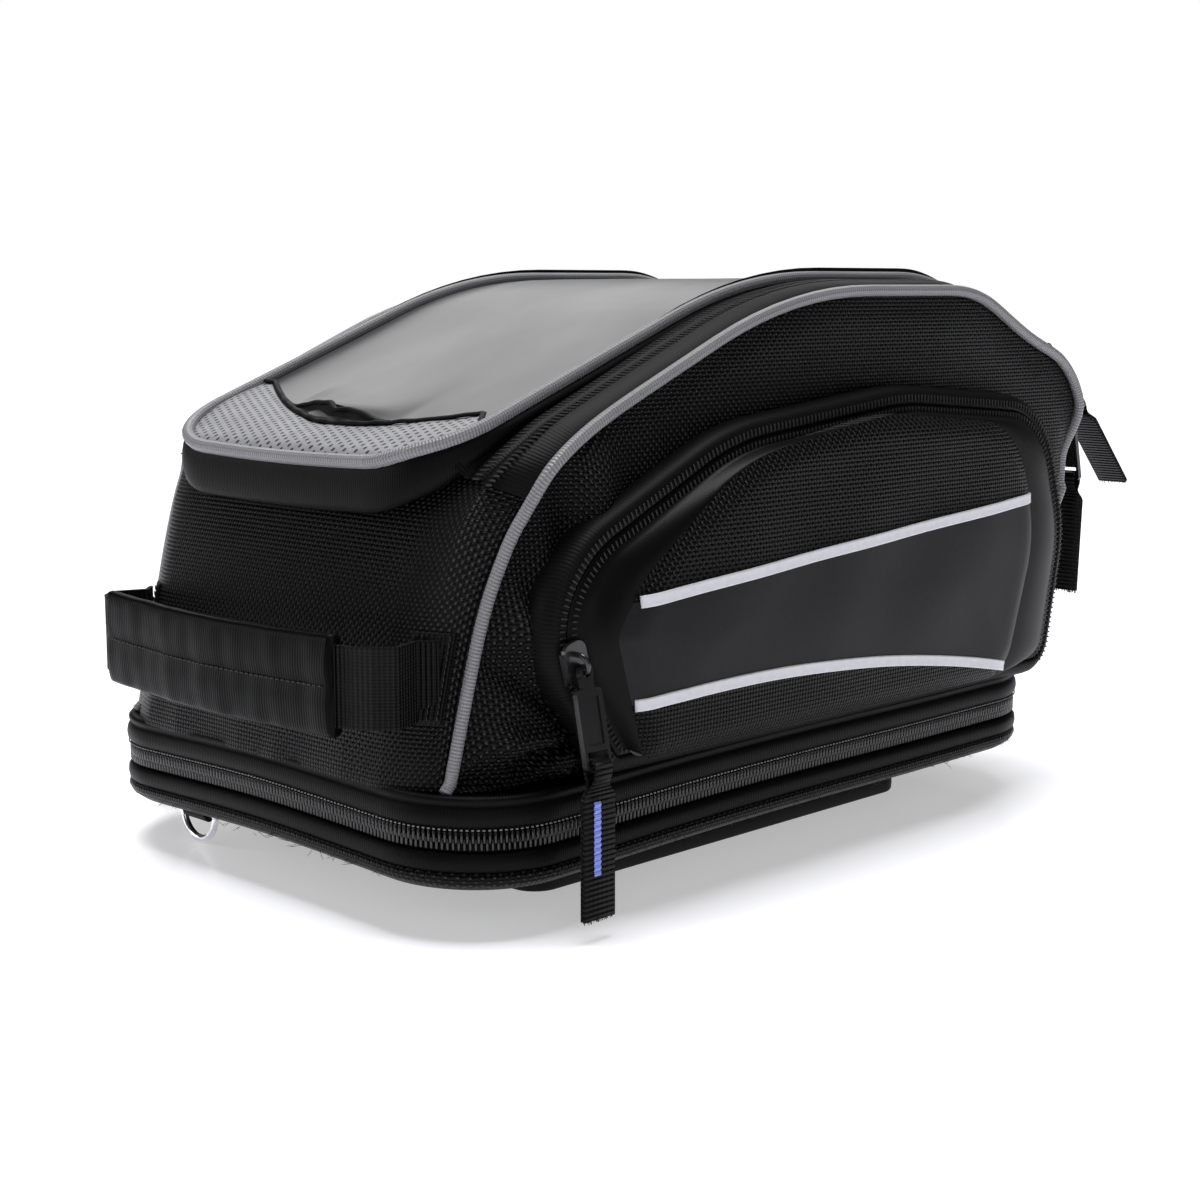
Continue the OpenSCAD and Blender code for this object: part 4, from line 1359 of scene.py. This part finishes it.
def pocket_pull_frame(side):
    """The same for a pocket's pull, which leans out and twists; its tab hangs plumb."""
    (cx, cz), radius, _, _ = corner_centre(GUSSET_OUTLINE, 7)
    tilt, twist = math.radians(12), math.radians(-15)
    at = Vector((cx, -(POCKET_IN + 0.1), cz)) + direction(195) * (radius - ZIP_INSET)
    hinge = at + Vector((0, -BAIL_Z, 0))
    down = direction(285)
    along = down * math.cos(tilt) + Vector((0, -math.sin(tilt), 0))
    normal = Vector((0, -math.cos(tilt), 0)) - down * math.sin(tilt)
    across = normal.cross(along)
    reach = BAR_X - BAIL_R
    bar = hinge + along * (BAIL_R + reach * math.cos(twist)) + across * (reach * math.sin(twist))
    if side == "right":
        bar.y = -bar.y
    way = -1 if side == "left" else 1
    return "pocket_" + side, bar, Vector((0, 0, -1)), Vector((0, way, 0))


def base_pull_frame():
    """The same for the pull at the middle of the rear band, turned 20 degrees off the band."""
    a = math.radians(20)
    along = Vector((math.sin(a), math.cos(a), 0))
    hinge = Vector((184 + BAIL_Z, 0, 39))
    return "base", hinge + along * BAR_X, along, Vector((math.cos(a), -math.sin(a), 0))


def tab_width(x):
    """Half the tab's width, gathered in near the puller's bar."""
    return 4.3 + 3.6 * ease((x - 5) / 6)


def build_tab(name, origin, along, normal):
    """Ribbed webbing folded round the puller's bar, sewn flat, with a stripe and a frayed end."""
    across = normal.cross(along)

    def put(x, y, z):
        return tuple(origin + along * x + across * y + normal * z)

    end, neck, layer, bar_r, rib_pitch, steps = 55.5, 8, 0.72, 3.1, 2.1, 110
    line = [(end - (end - neck) * k / steps, layer) for k in range(steps)]
    line += [(neck - 6.5 * k / 8, layer + 2.2 * ease(k / 8)) for k in range(9)]
    back = [(x, -z) for x, z in reversed(line)]
    turn = [math.radians(70 + 220 * k / 10) for k in range(11)]
    line += [(bar_r * math.cos(a), bar_r * math.sin(a)) for a in turn] + back
    rows = []
    for i, (x, z) in enumerate(line):
        a, b = line[max(0, i - 1)], line[min(len(line) - 1, i + 1)]
        length = max(math.dist(a, b), 1e-6)
        nx, nz = (b[1] - a[1]) / length, (a[0] - b[0]) / length
        rib = 0.34 * math.sin(2 * math.pi * x / rib_pitch)
        w = tab_width(x)
        row = []
        for y, t in ((-w, 0.1), (-w + 0.4, 0.62 + rib), (0, 0.55 + rib), (w - 0.4, 0.62 + rib), (w, 0.1),
                     (w - 0.4, -0.55), (0, -0.5), (-w + 0.4, -0.55)):
            row.append(put(x - nx * t, y, z - nz * t))
        rows.append(row)
    body = "zip_tab_" + name
    tab = grid("pull_tab_" + name, rows, body, MAT["webbing"], ring=True, caps=True, outward=False)
    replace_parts(tab, "tab_" + name)
    path = []
    for k in range(61):
        x = 12 + 27 * k / 60
        path.append(put(x, -1.6, 1.45 + 0.3 * math.sin(2 * math.pi * x / rib_pitch)))
    sweep("pull_stripe_" + name, path, [tuple(normal)] * len(path), strap_profile(3.2, 0.7), body,
          MAT["blue"])
    fray = []
    for _ in range(36):
        y, z = RNG.uniform(-7.6, 7.6), RNG.uniform(-1.2, 1.2)
        way = along + across * RNG.uniform(-0.5, 0.5) + normal * RNG.uniform(-0.4, 0.4)
        fray.append((put(55.6, y, z), way, normal, (RNG.uniform(0.5, 1.5), 0.16, 0.16)))
    pills("pull_fray_" + name, fray, body, MAT["stitch"])


for pull in [*lid_pull_frames(), pocket_pull_frame("left"), pocket_pull_frame("right"), base_pull_frame()]:
    build_tab(*pull)


# ---- CAD nodes that keep their own shape ------------------------------------

def finish_node(name, material, bevel=0.0):
    """Gives a rigid CAD node its finish and, where it is machined or cast, softened edges."""
    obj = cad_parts[name]
    obj.data.materials.clear()
    obj.data.materials.append(material)
    if bevel:
        soft = obj.modifiers.new("soft_edges", "BEVEL")
        soft.width = bevel * MM
        soft.segments = 2
        soft.limit_method = "ANGLE"


for key in ("lid_a", "lid_b", "pocket_left", "pocket_right", "base"):
    finish_node("slider_" + key, MAT["metal"], 0.3)
    finish_node("puller_" + key, MAT["metal"], 0.35)
finish_node("ring_front", MAT["ring"])
finish_node("ring_rear", MAT["ring"])
finish_node("base_board", MAT["board"], 0.4)


# ---- Floor, light and camera ------------------------------------------------

SKY = 0.08


def build_floor():
    """Pale floor whose edge is too far off to be seen."""
    size, steps = 9000, 60
    rows = []
    for i in range(steps + 1):
        y = -size + 2 * size * i / steps
        rows.append([(-size + 2 * size * k / steps, y, 0) for k in range(steps + 1)])
    sh = Shader("floor")
    sh.set(color=sh.grey(sh.noise(0.5), 0.9, 0.92), rough=0.24, spec=0.2)
    sh.bsdf.inputs["Emission Color"].default_value = (1, 1, 1, 1)
    sh.bsdf.inputs["Emission Strength"].default_value = 0.42
    floor = grid("floor", rows, None, sh.material, outward=False)


def area_light(name, at, target, size, power):
    """A rectangular softbox turned towards target."""
    data = bpy.data.lights.new(name, "AREA")
    data.shape = "RECTANGLE"
    data.size, data.size_y = size
    data.energy = power
    lamp = bpy.data.objects.new(name, data)
    lamp.location = at
    lamp.rotation_euler = (Vector(target) - Vector(at)).to_track_quat("-Z", "Y").to_euler()
    bpy.context.scene.collection.objects.link(lamp)


def build_light():
    """White to the camera, a dark studio to all else, a wide overhead lamp and three panels."""
    world = bpy.data.worlds.new("studio")
    world.use_nodes = True
    tree = world.node_tree
    sky = tree.nodes["Background"]
    seen = tree.nodes.new("ShaderNodeLightPath")
    level = tree.nodes.new("ShaderNodeMapRange")
    level.inputs["To Min"].default_value = SKY
    level.inputs["To Max"].default_value = 1.0
    tree.links.new(seen.outputs["Is Camera Ray"], level.inputs["Value"])
    tree.links.new(level.outputs[0], sky.inputs["Strength"])
    sky.inputs["Color"].default_value = (1, 1, 1, 1)
    bpy.context.scene.world = world
    sun = bpy.data.lights.new("overhead", "SUN")
    sun.energy = 4.0
    sun.angle = math.radians(40)
    lamp = bpy.data.objects.new("overhead", sun)
    lamp.rotation_euler = (math.radians(-8), math.radians(6), 0)
    bpy.context.scene.collection.objects.link(lamp)
    area_light("back_softbox", (1.4, 1.7, 1.5), (0, 0, 0.2), (2.4, 1.3), 15)
    area_light("left_softbox", (-1.5, 1.3, 0.6), (0, 0, 0.1), (0.8, 0.7), 7)
    area_light("front_softbox", (-1.3, -1.7, 1.0), (0, 0, 0.1), (1.3, 1.0), 7)
    bpy.context.scene.view_settings.view_transform = "Standard"


def build_camera():
    """The photograph's viewpoint, solved from points seen in it."""
    data = bpy.data.cameras.new("photo_camera")
    data.lens = 60
    data.sensor_width = 36
    camera = bpy.data.objects.new("photo_camera", data)
    heading, pitch = math.radians(44.83), math.radians(8.96)
    level = Vector((math.cos(heading), math.sin(heading), 0)) * math.cos(pitch)
    forward = level - Vector((0, 0, math.sin(pitch)))
    camera.location = (-0.6260, -0.6263, 0.2328)
    camera.rotation_euler = forward.to_track_quat("-Z", "Y").to_euler()
    bpy.context.scene.collection.objects.link(camera)
    bpy.context.scene.camera = camera


build_floor()
build_light()
build_camera()
